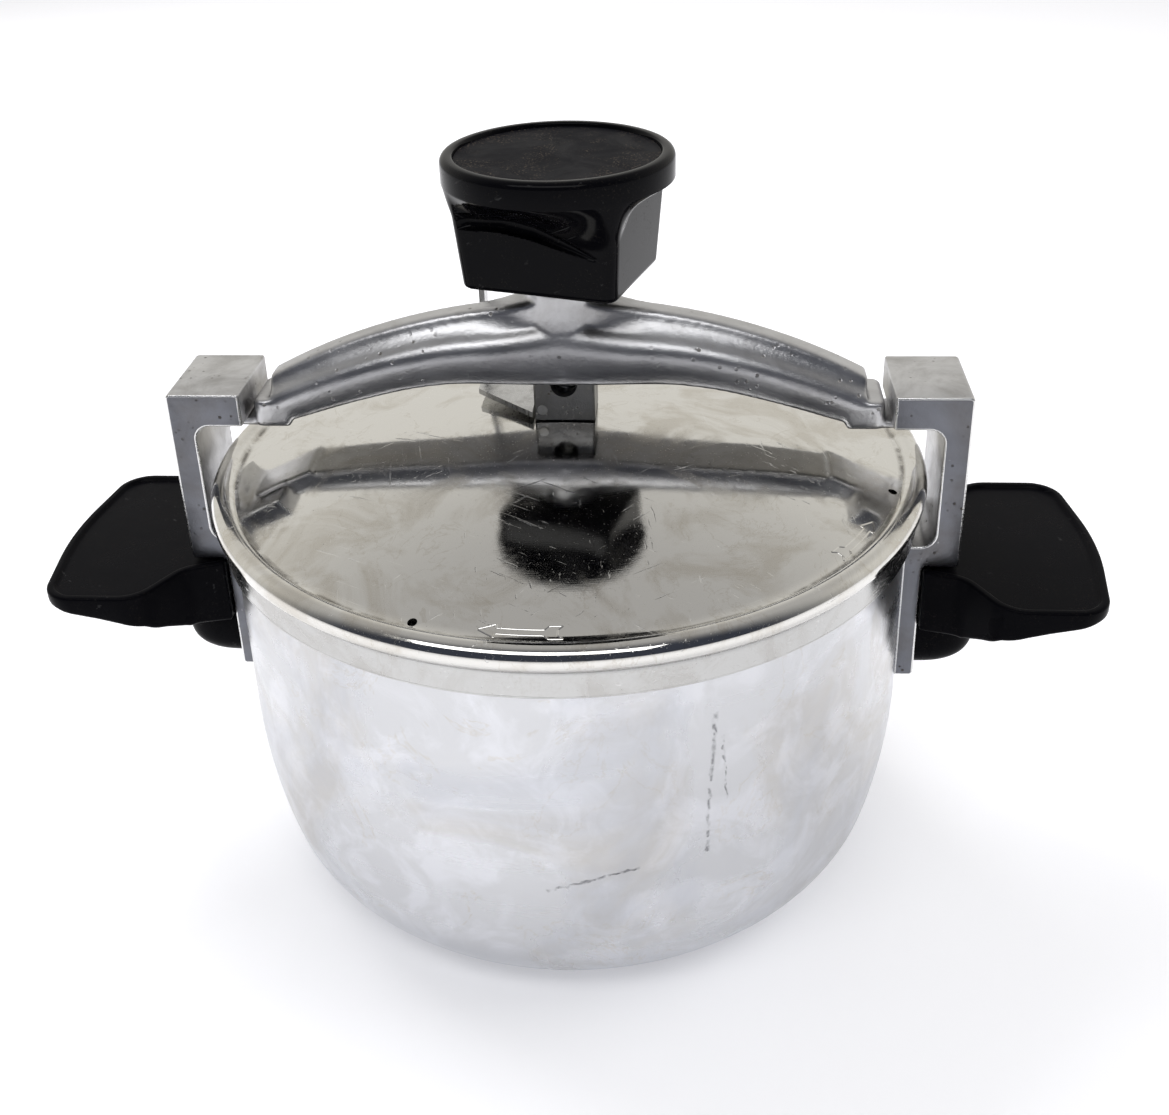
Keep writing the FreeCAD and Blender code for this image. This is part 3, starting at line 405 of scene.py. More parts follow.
def layered(tree, shade, *layers):
    """A colour with others laid over it. Each layer is a mask, its share and its colour."""
    for mask, share, over in layers:
        shade = tinted(tree, maths(tree, "MULTIPLY", mask, share), shade, (*over[:3], 1.0))
    return shade


def strongest(tree, masks):
    """The largest of several masks."""
    largest = masks[0]
    for mask in masks[1:]:
        largest = maths(tree, "MAXIMUM", largest, mask)
    return largest


def stains_in(tree, where, density, amount, out=0):
    return use(
        tree, groups["stains"], {"Vector": where, "Density": density, "Amount": amount}, out)


def scratches_in(tree, where, turn, spacing, amount):
    return use(
        tree, groups["scratches"],
        {"Vector": where, "Turn": turn, "Spacing": spacing, "Amount": amount})


def height_of(tree, where):
    return place(tree, "ShaderNodeSeparateXYZ", {0: where}, 2)


def pot_metal():
    """Spun aluminium with fine level lines, cloudy stains, scrapes, a few deep marks and a painted shadow
    towards the base.
    """
    material, tree, shader, where = new_material("pot_metal", 1.0)
    lines = noise(tree, stretched(tree, where, (5.0, 5.0, 1500.0)), 1.0, 4.0, 0.7)
    bands = noise(tree, stretched(tree, where, (3.0, 3.0, 70.0)), 1.0, 3.0, 0.6)
    stains = stains_in(tree, where, 17.0, 0.72)
    rims = stains_in(tree, where, 31.0, 0.35, 1)
    veil = stains_in(tree, where, 44.0, 0.9)
    clouds = stains_in(tree, where, 15.0, 0.80)
    # Painted shadow: the wall is darkened towards the base, standing for the floor's contact shadow seen
    # in it.
    foot = spread(tree, height_of(tree, where), 0.034, 0.008)
    level = scratches_in(tree, where, (0.0, 0.0, 0.0), 420.0, 0.9)
    slanted = scratches_in(tree, where, (0.0, 1.1, 0.3), 300.0, 0.55)
    marks = (
        ((0.0515, -0.1075, 0.1189), (0.0506, -0.1079, 0.0947), 0.0011),
        ((0.0500, -0.1082, 0.0910), (0.0496, -0.1084, 0.0671), 0.0010),
        ((0.0537, -0.1064, 0.1107), (0.0553, -0.1056, 0.0850), 0.0006),
        ((0.0000, -0.1192, 0.0582), (0.0178, -0.1179, 0.0638), 0.0009),
        ((0.0178, -0.1179, 0.0638), (0.0286, -0.1157, 0.0658), 0.0007),
    )
    scars = strongest(tree, [
        use(tree, groups["gouge"], {"Vector": where, "Start": start, "End": end, "Width": width})
        for start, end, width in marks])
    shade = layered(
        tree, paint("pot"),
        (stains, 0.34, paint("stain")), (rims, 0.40, paint("stain")),
        (veil, 0.30, (0.84, 0.85, 0.90)), (clouds, 0.34, (0.48, 0.50, 0.55)),
        (foot, 0.45, (0.34, 0.36, 0.40)), (level, 0.35, (0.55, 0.55, 0.56)),
        (scars, 0.72, (0.12, 0.12, 0.13)))
    roughness = summed(
        tree, spread(tree, bands, 0.2, 0.8, 0.19, 0.30),
        (stains, 0.10), (clouds, 0.06), (slanted, 0.12))
    height = summed(
        tree, maths(tree, "MULTIPLY", lines, 0.30),
        (level, -0.5), (scars, -4.0), (noise(tree, where, 55.0, 3.0, 0.5), 1.6))
    finish_material(tree, shader, shade, roughness, height, 0.00006)
    return material


def cover_metal():
    """Polished aluminium that has dulled: rings of fine lines, stains, crossing scratches and painted
    shade on the skirt.
    """
    material, tree, shader, where = new_material("cover_metal", 1.0)
    radius = vectors(tree, "LENGTH", vectors(tree, "MULTIPLY", where, (1.0, 1.0, 0.0)), out=1)
    ring_place = place(tree, "ShaderNodeCombineXYZ", {"X": radius})
    rings = noise(tree, ring_place, 2400.0, 3.0, 0.7)
    wide_rings = noise(tree, ring_place, 160.0, 3.0, 0.6)
    stains = stains_in(tree, where, 34.0, 0.78)
    rims = stains_in(tree, where, 46.0, 0.45, 1)
    cuts = strongest(tree, [
        scratches_in(tree, where, (0.0, 0.0, turn), 560.0, amount)
        for turn, amount in ((0.5, 0.85), (-0.62, 0.7), (1.35, 0.8), (2.3, 0.6))])
    crease_radius, crease_width = 0.1163, 0.0016
    from_crease = maths(tree, "ABSOLUTE", maths(tree, "SUBTRACT", radius, crease_radius))
    sooty = spread(tree, noise(tree, where, 60.0, 4.0, 0.7), 0.35, 0.62)
    soot = maths(tree, "MULTIPLY", spread(tree, from_crease, crease_width, 0.0), sooty)
    # Painted shade: the skirt below the bead is darkened, standing for a dimmer reflection there; its
    # roughness is raised too.
    skirt = spread(tree, height_of(tree, where), 0.1460, 0.1435)
    dust = spread(tree, noise(tree, where, 1500.0, 2.0, 0.6), 0.66, 0.72)
    shade = layered(
        tree, paint("cover"),
        (stains, 0.50, paint("stain")), (rims, 0.35, paint("stain")),
        (skirt, 0.60, (0.40, 0.405, 0.41)), (cuts, 0.45, (0.90, 0.90, 0.89)),
        (soot, 0.7, paint("dirt")))
    roughness = summed(
        tree, spread(tree, wide_rings, 0.25, 0.75, 0.045, 0.085),
        (stains, 0.13), (cuts, 0.16), (soot, 0.3), (dust, 0.25), (skirt, 0.12))
    height = summed(
        tree, maths(tree, "MULTIPLY", rings, 0.22),
        (cuts, -0.8), (noise(tree, where, 70.0, 3.0, 0.5), 1.3))
    finish_material(tree, shader, shade, roughness, height, 0.00004)
    return material


def casting(name, shade_name, dirt_share, rough_low, rough_high, density=800.0):
    """A tumbled casting: satin, grained, pitted and patchily dirty, with painted shade on the faces that
    a mesh attribute marks.
    """
    material, tree, shader, where = new_material(name, 1.0)
    grained = {"Vector": where, "Density": density, "Pits": 0.9}
    grain = use(tree, groups["grain"], grained)
    pits = use(tree, groups["grain"], grained, 1)
    clouds = noise(tree, where, 42.0, 5.0, 0.65, 0.6)
    smears = noise(tree, stretched(tree, where, (14.0, 60.0, 60.0)), 1.0, 4.0, 0.6)
    nicks = scratches_in(tree, where, (0.3, 0.5, 0.9), 380.0, 0.7)
    # Painted shade: where the attribute marks a face, the colour is darkened towards a dull grey.
    grease = place(tree, "ShaderNodeAttribute", attribute_name="grease", out=2)
    shade = layered(
        tree, paint(shade_name),
        (spread(tree, clouds, 0.35, 0.75, 0.0, dirt_share), 1.0, paint("dirt")),
        (pits, 0.8, paint("dirt")), (nicks, 0.5, paint("worn")),
        (grease, 0.85, (0.17, 0.175, 0.20)))
    roughness = summed(
        tree, spread(tree, smears, 0.25, 0.75, rough_low, rough_high), (pits, 0.25))
    finish_material(tree, shader, shade, roughness, summed(tree, grain, (nicks, -0.4)), 0.00022)
    return material


def plain_metal(name, shade_name, rough_low=0.25, rough_high=0.42):
    """Turned or rolled metal with fine lines and a little dirt."""
    material, tree, shader, where = new_material(name, 1.0)
    lines = noise(tree, stretched(tree, where, (900.0, 900.0, 90.0)), 1.0, 3.0, 0.6)
    clouds = noise(tree, where, 160.0, 4.0, 0.6, 0.4)
    dirty = spread(tree, clouds, 0.45, 0.8, 0.0, 0.4)
    shade = tinted(tree, dirty, paint(shade_name), paint("dirt"))
    roughness = spread(tree, lines, 0.2, 0.8, rough_low, rough_high)
    height = summed(tree, lines, (clouds, 0.8))
    finish_material(tree, shader, shade, roughness, height, 0.00005, 0.6)
    return material


def moulding(name, shade_name, rough_low, rough_high, dust, specular, bump=0.00003):
    """Black moulding with handling marks, fine scratches and dust."""
    material, tree, shader, where = new_material(name, 0.0, specular, 1.3)
    smudges = noise(tree, where, 60.0, 4.0, 0.6, 0.7)
    flow = noise(tree, where, 28.0, 2.0, 0.5)
    speckle = spread(tree, noise(tree, where, 1300.0, 3.0, 0.7), 0.57, 0.66)
    dusty = spread(tree, noise(tree, where, 90.0, 3.0, 0.6), 0.42, 0.62)
    specks = maths(tree, "MULTIPLY", speckle, dusty)
    fine = scratches_in(tree, where, (0.2, 0.4, 0.8), 420.0, 0.8)
    shade = layered(
        tree, paint(shade_name),
        (specks, dust, (0.23, 0.19, 0.15)), (fine, 0.25, (0.10, 0.10, 0.10)))
    roughness = summed(
        tree, spread(tree, smudges, 0.3, 0.75, rough_low, rough_high), (fine, 0.15), (specks, 0.3))
    height = summed(tree, flow, (noise(tree, where, 1100.0, 2.0, 0.5), 0.12), (fine, -0.3))
    finish_material(tree, shader, shade, roughness, height, bump)
    return material


def rubber(name):
    """Black rubber with grey grime."""
    material, tree, shader, where = new_material(name, 0.0, 0.3)
    grime = noise(tree, where, 240.0, 4.0, 0.6)
    grey = spread(tree, grime, 0.4, 0.8, 0.0, 0.5)
    shade = tinted(tree, grey, paint("rubber"), (0.09, 0.085, 0.08, 1.0))
    roughness = spread(tree, grime, 0.3, 0.7, 0.55, 0.8)
    finish_material(tree, shader, shade, roughness, grime, 0.0001, 0.5)
    return material


def floor_paper():
    """White paper that glows faintly, so that it stays pale under a soft light."""
    material, tree, shader, where = new_material("floor_paper", 0.0, 0.2)
    tooth = noise(tree, where, 900.0, 3.0, 0.6)
    slow = spread(tree, noise(tree, where, 1.6, 2.0, 0.5), 0.3, 0.7, 0.0, 0.25)
    shade = tinted(tree, slow, paint("floor"), (0.84, 0.84, 0.85, 1.0))
    roughness = spread(tree, tooth, 0.3, 0.7, 0.75, 0.85)
    finish_material(tree, shader, shade, roughness, tooth, 0.00004, 0.3)
    shader.inputs["Emission Color"].default_value = (0.97, 0.97, 1.0, 1.0)
    shader.inputs["Emission Strength"].default_value = 0.36
    return material


finishes = {}


def build_materials():
    finishes["pot"] = pot_metal()
    finishes["cover"] = cover_metal()
    finishes["yoke"] = casting("yoke_metal", "cast", 0.34, 0.27, 0.40)
    finishes["bracket"] = casting("bracket_metal", "bracket", 0.45, 0.30, 0.44, 1000.0)
    # Painted shade: a darker copy of the bracket metal for the brackets' broad faces.
    finishes["side"] = casting("bracket_side", "side", 0.40, 0.36, 0.50, 1000.0)
    finishes["edge"] = casting("worn_edge", "worn", 0.05, 0.22, 0.32, 1200.0)
    finishes["block"] = casting("block_metal", "block", 0.4, 0.30, 0.45, 1300.0)
    finishes["rivet"] = plain_metal("rivet_metal", "cast")
    finishes["steel"] = plain_metal("plain_steel", "steel")
    finishes["lever"] = plain_metal("lever_steel", "lever", 0.22, 0.4)
    finishes["brass"] = plain_metal("bush_brass", "brass")
    finishes["handle"] = moulding("handle_moulding", "handle", 0.24, 0.38, 0.05, 0.06)
    finishes["knob"] = moulding("knob_moulding", "knob", 0.06, 0.13, 0.05, 0.13)
    finishes["cap"] = moulding("cap_moulding", "cap", 0.45, 0.60, 0.55, 0.08, 0.00010)
    finishes["rubber"] = rubber("seal_rubber")
    finishes["floor"] = floor_paper()


# Mesh helpers ---------------------------------------------------------------

def new_piece(name, points, faces, *materials):
    """A mesh object at the origin from points in millimetres."""
    mesh = bpy.data.meshes.new(name)
    mesh.from_pydata((np.asarray(points, dtype=float) / 1000).tolist(), [], faces)
    for material in materials:
        mesh.materials.append(material)
    piece = bpy.data.objects.new(name, mesh)
    bpy.context.scene.collection.objects.link(piece)
    return piece


def settle(piece, sharp=35.0):
    """Welds the mesh, turns its faces outwards and shades it smooth up to sharp degrees."""
    work = bmesh.new()
    work.from_mesh(piece.data)
    bmesh.ops.remove_doubles(work, verts=work.verts, dist=1e-6)
    bmesh.ops.dissolve_degenerate(work, edges=work.edges, dist=1e-7)
    bmesh.ops.recalc_face_normals(work, faces=work.faces)
    work.to_mesh(piece.data)
    work.free()
    piece.data.shade_smooth()
    piece.data.set_sharp_from_angle(angle=math.radians(sharp))
    return piece


def plain(piece):
    """Puts the result of the piece's modifiers in its place as a plain mesh."""
    bpy.context.view_layer.update()
    graph = bpy.context.evaluated_depsgraph_get()
    result = bpy.data.meshes.new_from_object(piece.evaluated_get(graph))
    if not result.polygons:
        raise RuntimeError(piece.name + " came out empty")
    rough = piece.data
    piece.modifiers.clear()
    piece.data = result
    name = rough.name
    bpy.data.meshes.remove(rough)
    result.name = name
    return piece


def combined(piece, other, operation):
    """Joins, cuts or keeps the common part of two pieces, and removes the other."""
    change = piece.modifiers.new("Shape", "BOOLEAN")
    change.operation = operation
    change.solver = "EXACT"
    change.object = other
    plain(piece)
    spent = other.data
    bpy.data.objects.remove(other)
    bpy.data.meshes.remove(spent)
    return piece


def skin(rings, closed=False, caps=False):
    """Points and faces of a surface that runs through rings of equally many points."""
    count = len(rings[0])
    points = np.concatenate(rings)
    faces = []
    last = len(rings) if closed else len(rings) - 1
    for row in range(last):
        low = row * count
        high = (row + 1) % len(rings) * count
        for step in range(count):
            after = (step + 1) % count
            faces.append((low + step, low + after, high + after, high + step))
    if caps:
        faces.append(tuple(range(count)))
        faces.append(tuple(range(len(points) - count, len(points))))
    return points, faces


def rounded(corners, steps=6):
    """The points of a closed outline. Each corner is its two places and its radius."""
    outline = []
    for index, (x, z, radius) in enumerate(corners):
        corner = Vector((x, z))
        if radius == 0:
            outline.append(corner)
            continue
        before = (Vector(corners[index - 1][:2]) - corner).normalized()
        after = (Vector(corners[(index + 1) % len(corners)][:2]) - corner).normalized()
        half = before.angle(after) / 2
        centre = corner + (before + after).normalized() * radius / math.sin(half)
        start = corner + before * radius / math.tan(half) - centre
        end = corner + after * radius / math.tan(half) - centre
        for step in range(steps + 1):
            outline.append(centre + start.lerp(end, step / steps).normalized() * radius)
    return np.array([tuple(point) for point in outline])


def spaced(outline, count):
    """A closed outline divided into equal steps."""
    loop = np.vstack([outline, outline[:1]])
    steps = np.hypot(*np.diff(loop, axis=0).T)
    travel = np.concatenate([[0.0], np.cumsum(steps)])
    marks = np.linspace(0.0, travel[-1], count, endpoint=False)
    return np.column_stack([np.interp(marks, travel, loop[:, axis]) for axis in (0, 1)])


def arc_points(centre, radius, start, end, steps):
    angles = np.radians(np.linspace(start, end, steps + 1))
    return [(centre[0] + radius * math.cos(a), centre[1] + radius * math.sin(a)) for a in angles]


def box_points(low, high):
    (x0, y0, z0), (x1, y1, z1) = low, high
    points = [(x, y, z) for z in (z0, z1) for x, y in ((x0, y0), (x1, y0), (x1, y1), (x0, y1))]
    faces = [(3, 2, 1, 0), (4, 5, 6, 7), (0, 1, 5, 4), (1, 2, 6, 5), (2, 3, 7, 6), (3, 0, 4, 7)]
    return points, faces


def rod(name, radius, start, end, steps=48):
    """A closed cylinder between two points, in millimetres."""
    start = Vector(start)
    run = Vector(end) - start
    turn = run.to_track_quat("Z", "Y")
    rings = []
    for share in (0.0, 1.0):
        ring = []
        for step in range(steps):
            angle = math.tau * step / steps
            rim = turn @ Vector((radius * math.cos(angle), radius * math.sin(angle), 0.0))
            ring.append(tuple(start + run * share + rim))
        rings.append(np.array(ring))
    return settle(new_piece(name, *skin(rings, caps=True)))


def stand_for(piece, body, slot, *nodes):
    """Says which body the piece rides and which nodes it replaces; the slot is not used."""
    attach(piece, body)
    if nodes:
        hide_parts(*nodes)


def on_both_sides(piece, name, slot, right_node, left_node):
    """Mirrors a piece of the pot to the left side; each stands for the node on its side."""
    twin = bpy.data.objects.new(name, piece.data.copy())
    twin.data.name = name
    bpy.context.scene.collection.objects.link(twin)
    twin.data.transform(Matrix.Scale(-1.0, 4, (1.0, 0.0, 0.0)))
    settle(twin)
    stand_for(piece, "pot", slot, right_node)
    stand_for(twin, "pot", slot, left_node)


# Turned pieces --------------------------------------------------------------

piece_output = [("Piece", "NodeSocketGeometry")]


def turned_tree():
    """Sweeps a profile, whose points hold radius and height, once round the upright axis."""
    tree, given = new_group(
        "Turned piece",
        [("Profile", "NodeSocketGeometry", None), ("Profile points", "NodeSocketInt", 2),
         ("Segments", "NodeSocketInt", 256), ("Dent depth", "NodeSocketFloat", 0.0),
         ("Dent density", "NodeSocketFloat", 20.0), ("Material", "NodeSocketMaterial", None)],
        piece_output, "GeometryNodeTree")
    columns = maths(tree, "ADD", given["Segments"], 1.0)
    grid = place(
        tree, "GeometryNodeMeshGrid",
        {"Size X": 1.0, "Size Y": 1.0, "Vertices X": columns, "Vertices Y": given["Profile points"]})
    index = place(tree, "GeometryNodeInputIndex")
    row = maths(tree, "MODULO", index, given["Profile points"])
    half_on = maths(tree, "ADD", index, 0.5)
    column = maths(tree, "FLOOR", maths(tree, "DIVIDE", half_on, given["Profile points"]))
    angle = maths(tree, "MULTIPLY", maths(tree, "DIVIDE", column, given["Segments"]), math.tau)
    sampled = place(
        tree, "GeometryNodeSampleIndex",
        {"Geometry": given["Profile"], "Value": place(tree, "GeometryNodeInputPosition"), "Index": row},
        data_type="FLOAT_VECTOR")
    apart = place(tree, "ShaderNodeSeparateXYZ", {0: sampled}).node.outputs
    spot = place(
        tree, "ShaderNodeCombineXYZ",
        {"X": maths(tree, "MULTIPLY", apart["X"], maths(tree, "COSINE", angle)),
         "Y": maths(tree, "MULTIPLY", apart["X"], maths(tree, "SINE", angle)),
         "Z": apart["Z"]})
    swept = place(tree, "GeometryNodeSetPosition", {"Geometry": grid, "Position": spot})
    welded = place(tree, "GeometryNodeMergeByDistance", {"Geometry": swept, "Distance": 2e-6})
    waves = noise(tree, place(tree, "GeometryNodeInputPosition"), given["Dent density"], 2.0, 0.5)
    push = maths(tree, "MULTIPLY", maths(tree, "SUBTRACT", waves, 1.0), given["Dent depth"])
    offset = place(
        tree, "ShaderNodeVectorMath",
        {0: place(tree, "GeometryNodeInputNormal"), "Scale": push}, operation="SCALE")
    dented = place(tree, "GeometryNodeSetPosition", {"Geometry": welded, "Offset": offset})
    return end_build(tree, dented, given["Material"])


def tree_result(piece, tree, inputs):
    """Runs a node tree on a piece with these named inputs, and keeps the plain mesh."""
    modifier = piece.modifiers.new("Build", "NODES")
    modifier.node_group = tree
    for item in tree.interface.items_tree:
        if item.item_type == "SOCKET" and item.in_out == "INPUT" and item.name in inputs:
            modifier[item.identifier] = inputs[item.name]
    return plain(piece)


def turned(name, profile, material, dent_depth=0.0, dent_density=20.0):
    """A turned piece from its profile, a list of radius and height in millimetres."""
    points = [(r, 0.0, z) for r, z in profile]
    piece = new_piece(name, points, [])
    tree = bpy.data.node_groups.get("Turned piece") or turned_tree()
    tree_result(piece, tree, {
        "Profile points": len(points),
        "Segments": bpy.context.scene.cooker_sizes.segments,
        "Dent depth": dent_depth / 1000,
        "Dent density": dent_density,
        "Material": material,
    })
    return piece


def pot_profile():
    """The pot's wall from the middle of the base, up the outside and down the inside."""
    corner, belly = size.base_corner, size.belly_radius
    belly_x = size.pot_radius - belly
    reach = math.sqrt((belly - corner) ** 2 - (size.wall_start - corner) ** 2)
    centre = (belly_x + reach, corner)
    slope = math.degrees(math.atan2(corner - size.wall_start, reach))

    def wall(inset, start_angle):
        points = arc_points(centre, corner - inset, start_angle, slope, 24)
        points += arc_points((belly_x, size.wall_start), belly - inset, slope, 0.0, 18)[1:]
        rise = np.linspace(size.wall_start, size.rim_height - 0.8, 16)[1:]
        return points + [(size.pot_radius - inset, z) for z in rise]

    outer = wall(0.0, -90.0)
    inset = size.pot_wall
    lift = math.degrees(math.asin((corner - size.pot_base) / (corner - inset)))
    inner = wall(inset, -lift)
    lip_centre = (size.pot_radius - inset / 2, size.rim_height - inset / 2)
    lip = arc_points(lip_centre, inset / 2, 0.0, 180.0, 10)
    base = [(r, 0.0) for r in np.linspace(0.0, outer[0][0], 12)[:-1]]
    floor = [(r, size.pot_base) for r in np.linspace(inner[0][0], 0.0, 12)[1:]]
    outer = [point for point in outer if point[1] < size.rim_height - inset / 2]
    inner = [point for point in inner if point[1] < size.rim_height - inset / 2]
    return base + outer + lip + inner[::-1] + floor


def dome_height(radius, inset=0.0):
    return size.dome_apex - size.dome_radius + math.sqrt((size.dome_radius - inset) ** 2 - radius ** 2)


def cover_profile():
    """The cover from the middle of the dome, over the bead and skirt, and back underneath."""
    bead = (size.bead_circle, size.bead_height)
    crease = size.bead_circle - size.bead_radius * 0.93
    top = [(r, dome_height(r)) for r in np.linspace(0.0, crease - 1.2, 46)]
    start = math.degrees(math.acos(-0.86))
    over = arc_points(bead, size.bead_radius, start, -58.0, 30)
    fall = math.sqrt(size.bead_radius ** 2 - (size.skirt_radius - bead[0]) ** 2)
    over = [point for point in over if point[1] > bead[1] - fall or point[0] > size.skirt_radius]
    foot = bead[1] - fall
    skirt = [(size.skirt_radius + 0.10, foot - 0.5)]
    skirt += [(size.skirt_radius, z) for z in np.linspace(foot - 1.2, size.skirt_bottom + 0.7, 9)]
    inner = size.pot_radius + 0.9
    middle = (size.skirt_radius + inner) / 2
    half = (size.skirt_radius - inner) / 2
    skirt += arc_points((middle, size.skirt_bottom + half), half, 0.0, -180.0, 8)
    hollow = size.bead_radius - size.cover_sheet
    skirt += [(inner, z) for z in np.linspace(size.skirt_bottom + 2.0, bead[1] - hollow - 0.6, 6)]
    under = arc_points(bead, hollow, -80.0, 180.0, 14)
    below = [
        (r, dome_height(r, size.cover_sheet))
        for r in np.linspace(bead[0] - hollow - 0.6, 0.0, 40)]
    return (top + over + skirt + under + below)[::-1]


# Operators ------------------------------------------------------------------

class COOKER_OT_stage(bpy.types.Operator):
    """Lay the floor, hang the lights and set the camera"""

    bl_idname = "cooker.stage"
    bl_label = "Stage"

    def execute(self, context):
        edge = 7000.0
        corners = [(-edge, -edge, 0), (edge, -edge, 0), (edge, edge, 0), (-edge, edge, 0)]
        floor = new_piece("floor", corners, [(0, 1, 2, 3)], finishes["floor"])
        floor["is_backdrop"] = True
        self.hang_lights(context.scene)
        self.set_camera(context.scene)
        context.scene.view_settings.view_transform = "Standard"
        return {"FINISHED"}

    def hang_lights(self, scene):
        world = bpy.data.worlds.new("studio")
        world.use_nodes = True
        tree = world.node_tree
        where = tree.nodes.new("ShaderNodeTexCoord").outputs["Generated"]
        apart = place(tree, "ShaderNodeSeparateXYZ", {0: where}).node.outputs
        rise = spread(tree, apart["Z"], 0.40, 0.92)
        toward = place(
            tree, "ShaderNodeMapRange", {"Value": apart["Y"], "From Min": 0.35, "From Max": -0.55},
            interpolation_type="SMOOTHSTEP")
        shade = tinted(tree, rise, (0.95, 0.93, 0.88, 1.0), (0.56, 0.55, 0.54, 1.0))
        shade = tinted(tree, toward, shade, (0.055, 0.062, 0.085, 1.0))
        tree.links.new(shade, tree.nodes["Background"].inputs["Color"])
        tree.nodes["Background"].inputs["Strength"].default_value = 0.85
        scene.world = world
        for name, spot, aim, across, power, shines in (
            ("key", (-0.8, 0.9, 1.5), (0.0, 0.0, 0.1), 1.2, 22.0, False),
            ("fill", (1.4, 0.3, 1.3), (0.0, 0.0, 0.1), 1.2, 8.0, False),
            ("overhead", (-0.12, -0.72, 1.15), (0.0, 0.0, 0.2), 1.3, 5.5, True),
        ):
            lamp = bpy.data.lights.new(name, "AREA")
            lamp.energy = power
            lamp.shape = "RECTANGLE"
            lamp.size = across
            lamp.size_y = across * (0.3 if shines else 1.0)
            light = bpy.data.objects.new(name, lamp)
            light.visible_glossy = shines
            light.location = spot
            light.rotation_euler = (Vector(spot) - Vector(aim)).to_track_quat("Z", "Y").to_euler()
            scene.collection.objects.link(light)

    def set_camera(self, scene):
        turn, tilt, roll = math.radians(-4.85), math.radians(26.77), math.radians(-1.85)
        aim = Vector((0.01294, -0.08316, 0.19925))
        away = 0.41406
        ahead = Vector((
            math.sin(turn) * math.cos(tilt), math.cos(turn) * math.cos(tilt), -math.sin(tilt)))
        right = Vector((math.cos(turn), -math.sin(turn), 0.0))
        upward = right.cross(ahead)
        across = right * math.cos(roll) + upward * math.sin(roll)
        above = upward * math.cos(roll) - right * math.sin(roll)
        lens = bpy.data.cameras.new("camera")
        lens.lens = 44.15
        lens.sensor_width = 36.0
        lens.shift_y = -0.1041
        lens.clip_start = 0.01
        camera = bpy.data.objects.new("camera", lens)
        spin = Matrix((across, above, -ahead)).transposed()
        camera.matrix_world = Matrix.Translation(aim - ahead * away) @ spin.to_4x4()
        scene.collection.objects.link(camera)
        scene.camera = camera


class COOKER_OT_pot(bpy.types.Operator):
    """Turn the pot"""

    bl_idname = "cooker.pot"
    bl_label = "Pot"

    def execute(self, context):
        pot = turned("pot_shell_turned", pot_profile(), finishes["pot"], 0.16, 26.0)
        settle(pot)
        stand_for(pot, "pot", "pot_aluminium", "pot_shell")
        return {"FINISHED"}


class COOKER_OT_cover(bpy.types.Operator):
    """Turn the cover, drill its relief holes and raise its arrows"""

    bl_idname = "cooker.cover"
    bl_label = "Cover"

    hole_angles = (-109.0, -13.6)
    arrow_tails_and_heads = (("left_arrow", -87.0, -99.0), ("right_arrow", -37.0, -25.0))

    def execute(self, context):
        cover = turned("cover_turned", cover_profile(), finishes["cover"], 0.10, 20.0)
        settle(cover)
        holes = [
            Vector((size.hole_circle * math.cos(angle), size.hole_circle * math.sin(angle)))
            for angle in np.radians(self.hole_angles)]
        for x, y in holes:
            drill = rod("drill", size.hole_radius, (x, y, 140.0), (x, y, 160.0), 32)
            combined(cover, drill, "DIFFERENCE")
        settle(cover)
        cover.data.materials.append(finishes["rubber"])
        within = size.hole_radius + 0.02
        for face in cover.data.polygons:
            if any((face.center.xy * 1000 - hole).length < within for hole in holes):
                face.material_index = 1
        stand_for(cover, "cover", "cover_aluminium", "cover_shell")
        for name, tail, head in self.arrow_tails_and_heads:
            arrow = self.raised_arrow(name, tail, head)
            stand_for(arrow, "cover", "cover_aluminium")
        return {"FINISHED"}

    def raised_arrow(self, name, tail, head):
        """The outline of an arrow, standing a little above the dome along a circle."""
        radius = size.arrow_circle
        span = math.radians(head - tail) * radius
        run, way = abs(span), math.copysign(1.0, span)
        outline = rounded([
            (0.0, -1.0, 0), (-1.6, -2.3, 0), (2.6, -2.3, 0), (4.0, -1.0, 0),
            (run - 5.5, -1.0, 0), (run - 5.5, -2.4, 0), (run, 0.0, 0), (run - 5.5, 2.4, 0),
            (run - 5.5, 1.0, 0), (4.0, 1.0, 0), (2.6, 2.3, 0), (-1.6, 2.3, 0), (0.0, 1.0, 0)])
        outline = spaced(outline, 160)
        ahead = np.roll(outline, -1, axis=0) - np.roll(outline, 1, axis=0)
        normal = np.column_stack([ahead[:, 1], -ahead[:, 0]])
        normal /= np.maximum(np.hypot(*normal.T), 1e-6)[:, None]
        rings = []
        for offset, lift in ((-0.36, -0.16), (-0.20, 0.12), (0.20, 0.12), (0.36, -0.16)):
            ring = []
            for along, across in outline + normal * offset:
                angle = math.radians(tail) + way * along / radius
                r = radius + across
                ring.append((r * math.cos(angle), r * math.sin(angle), dome_height(r) + lift))
            rings.append(np.array(ring))
        return settle(new_piece(name, *skin(rings, closed=True), finishes["cover"]), 60.0)


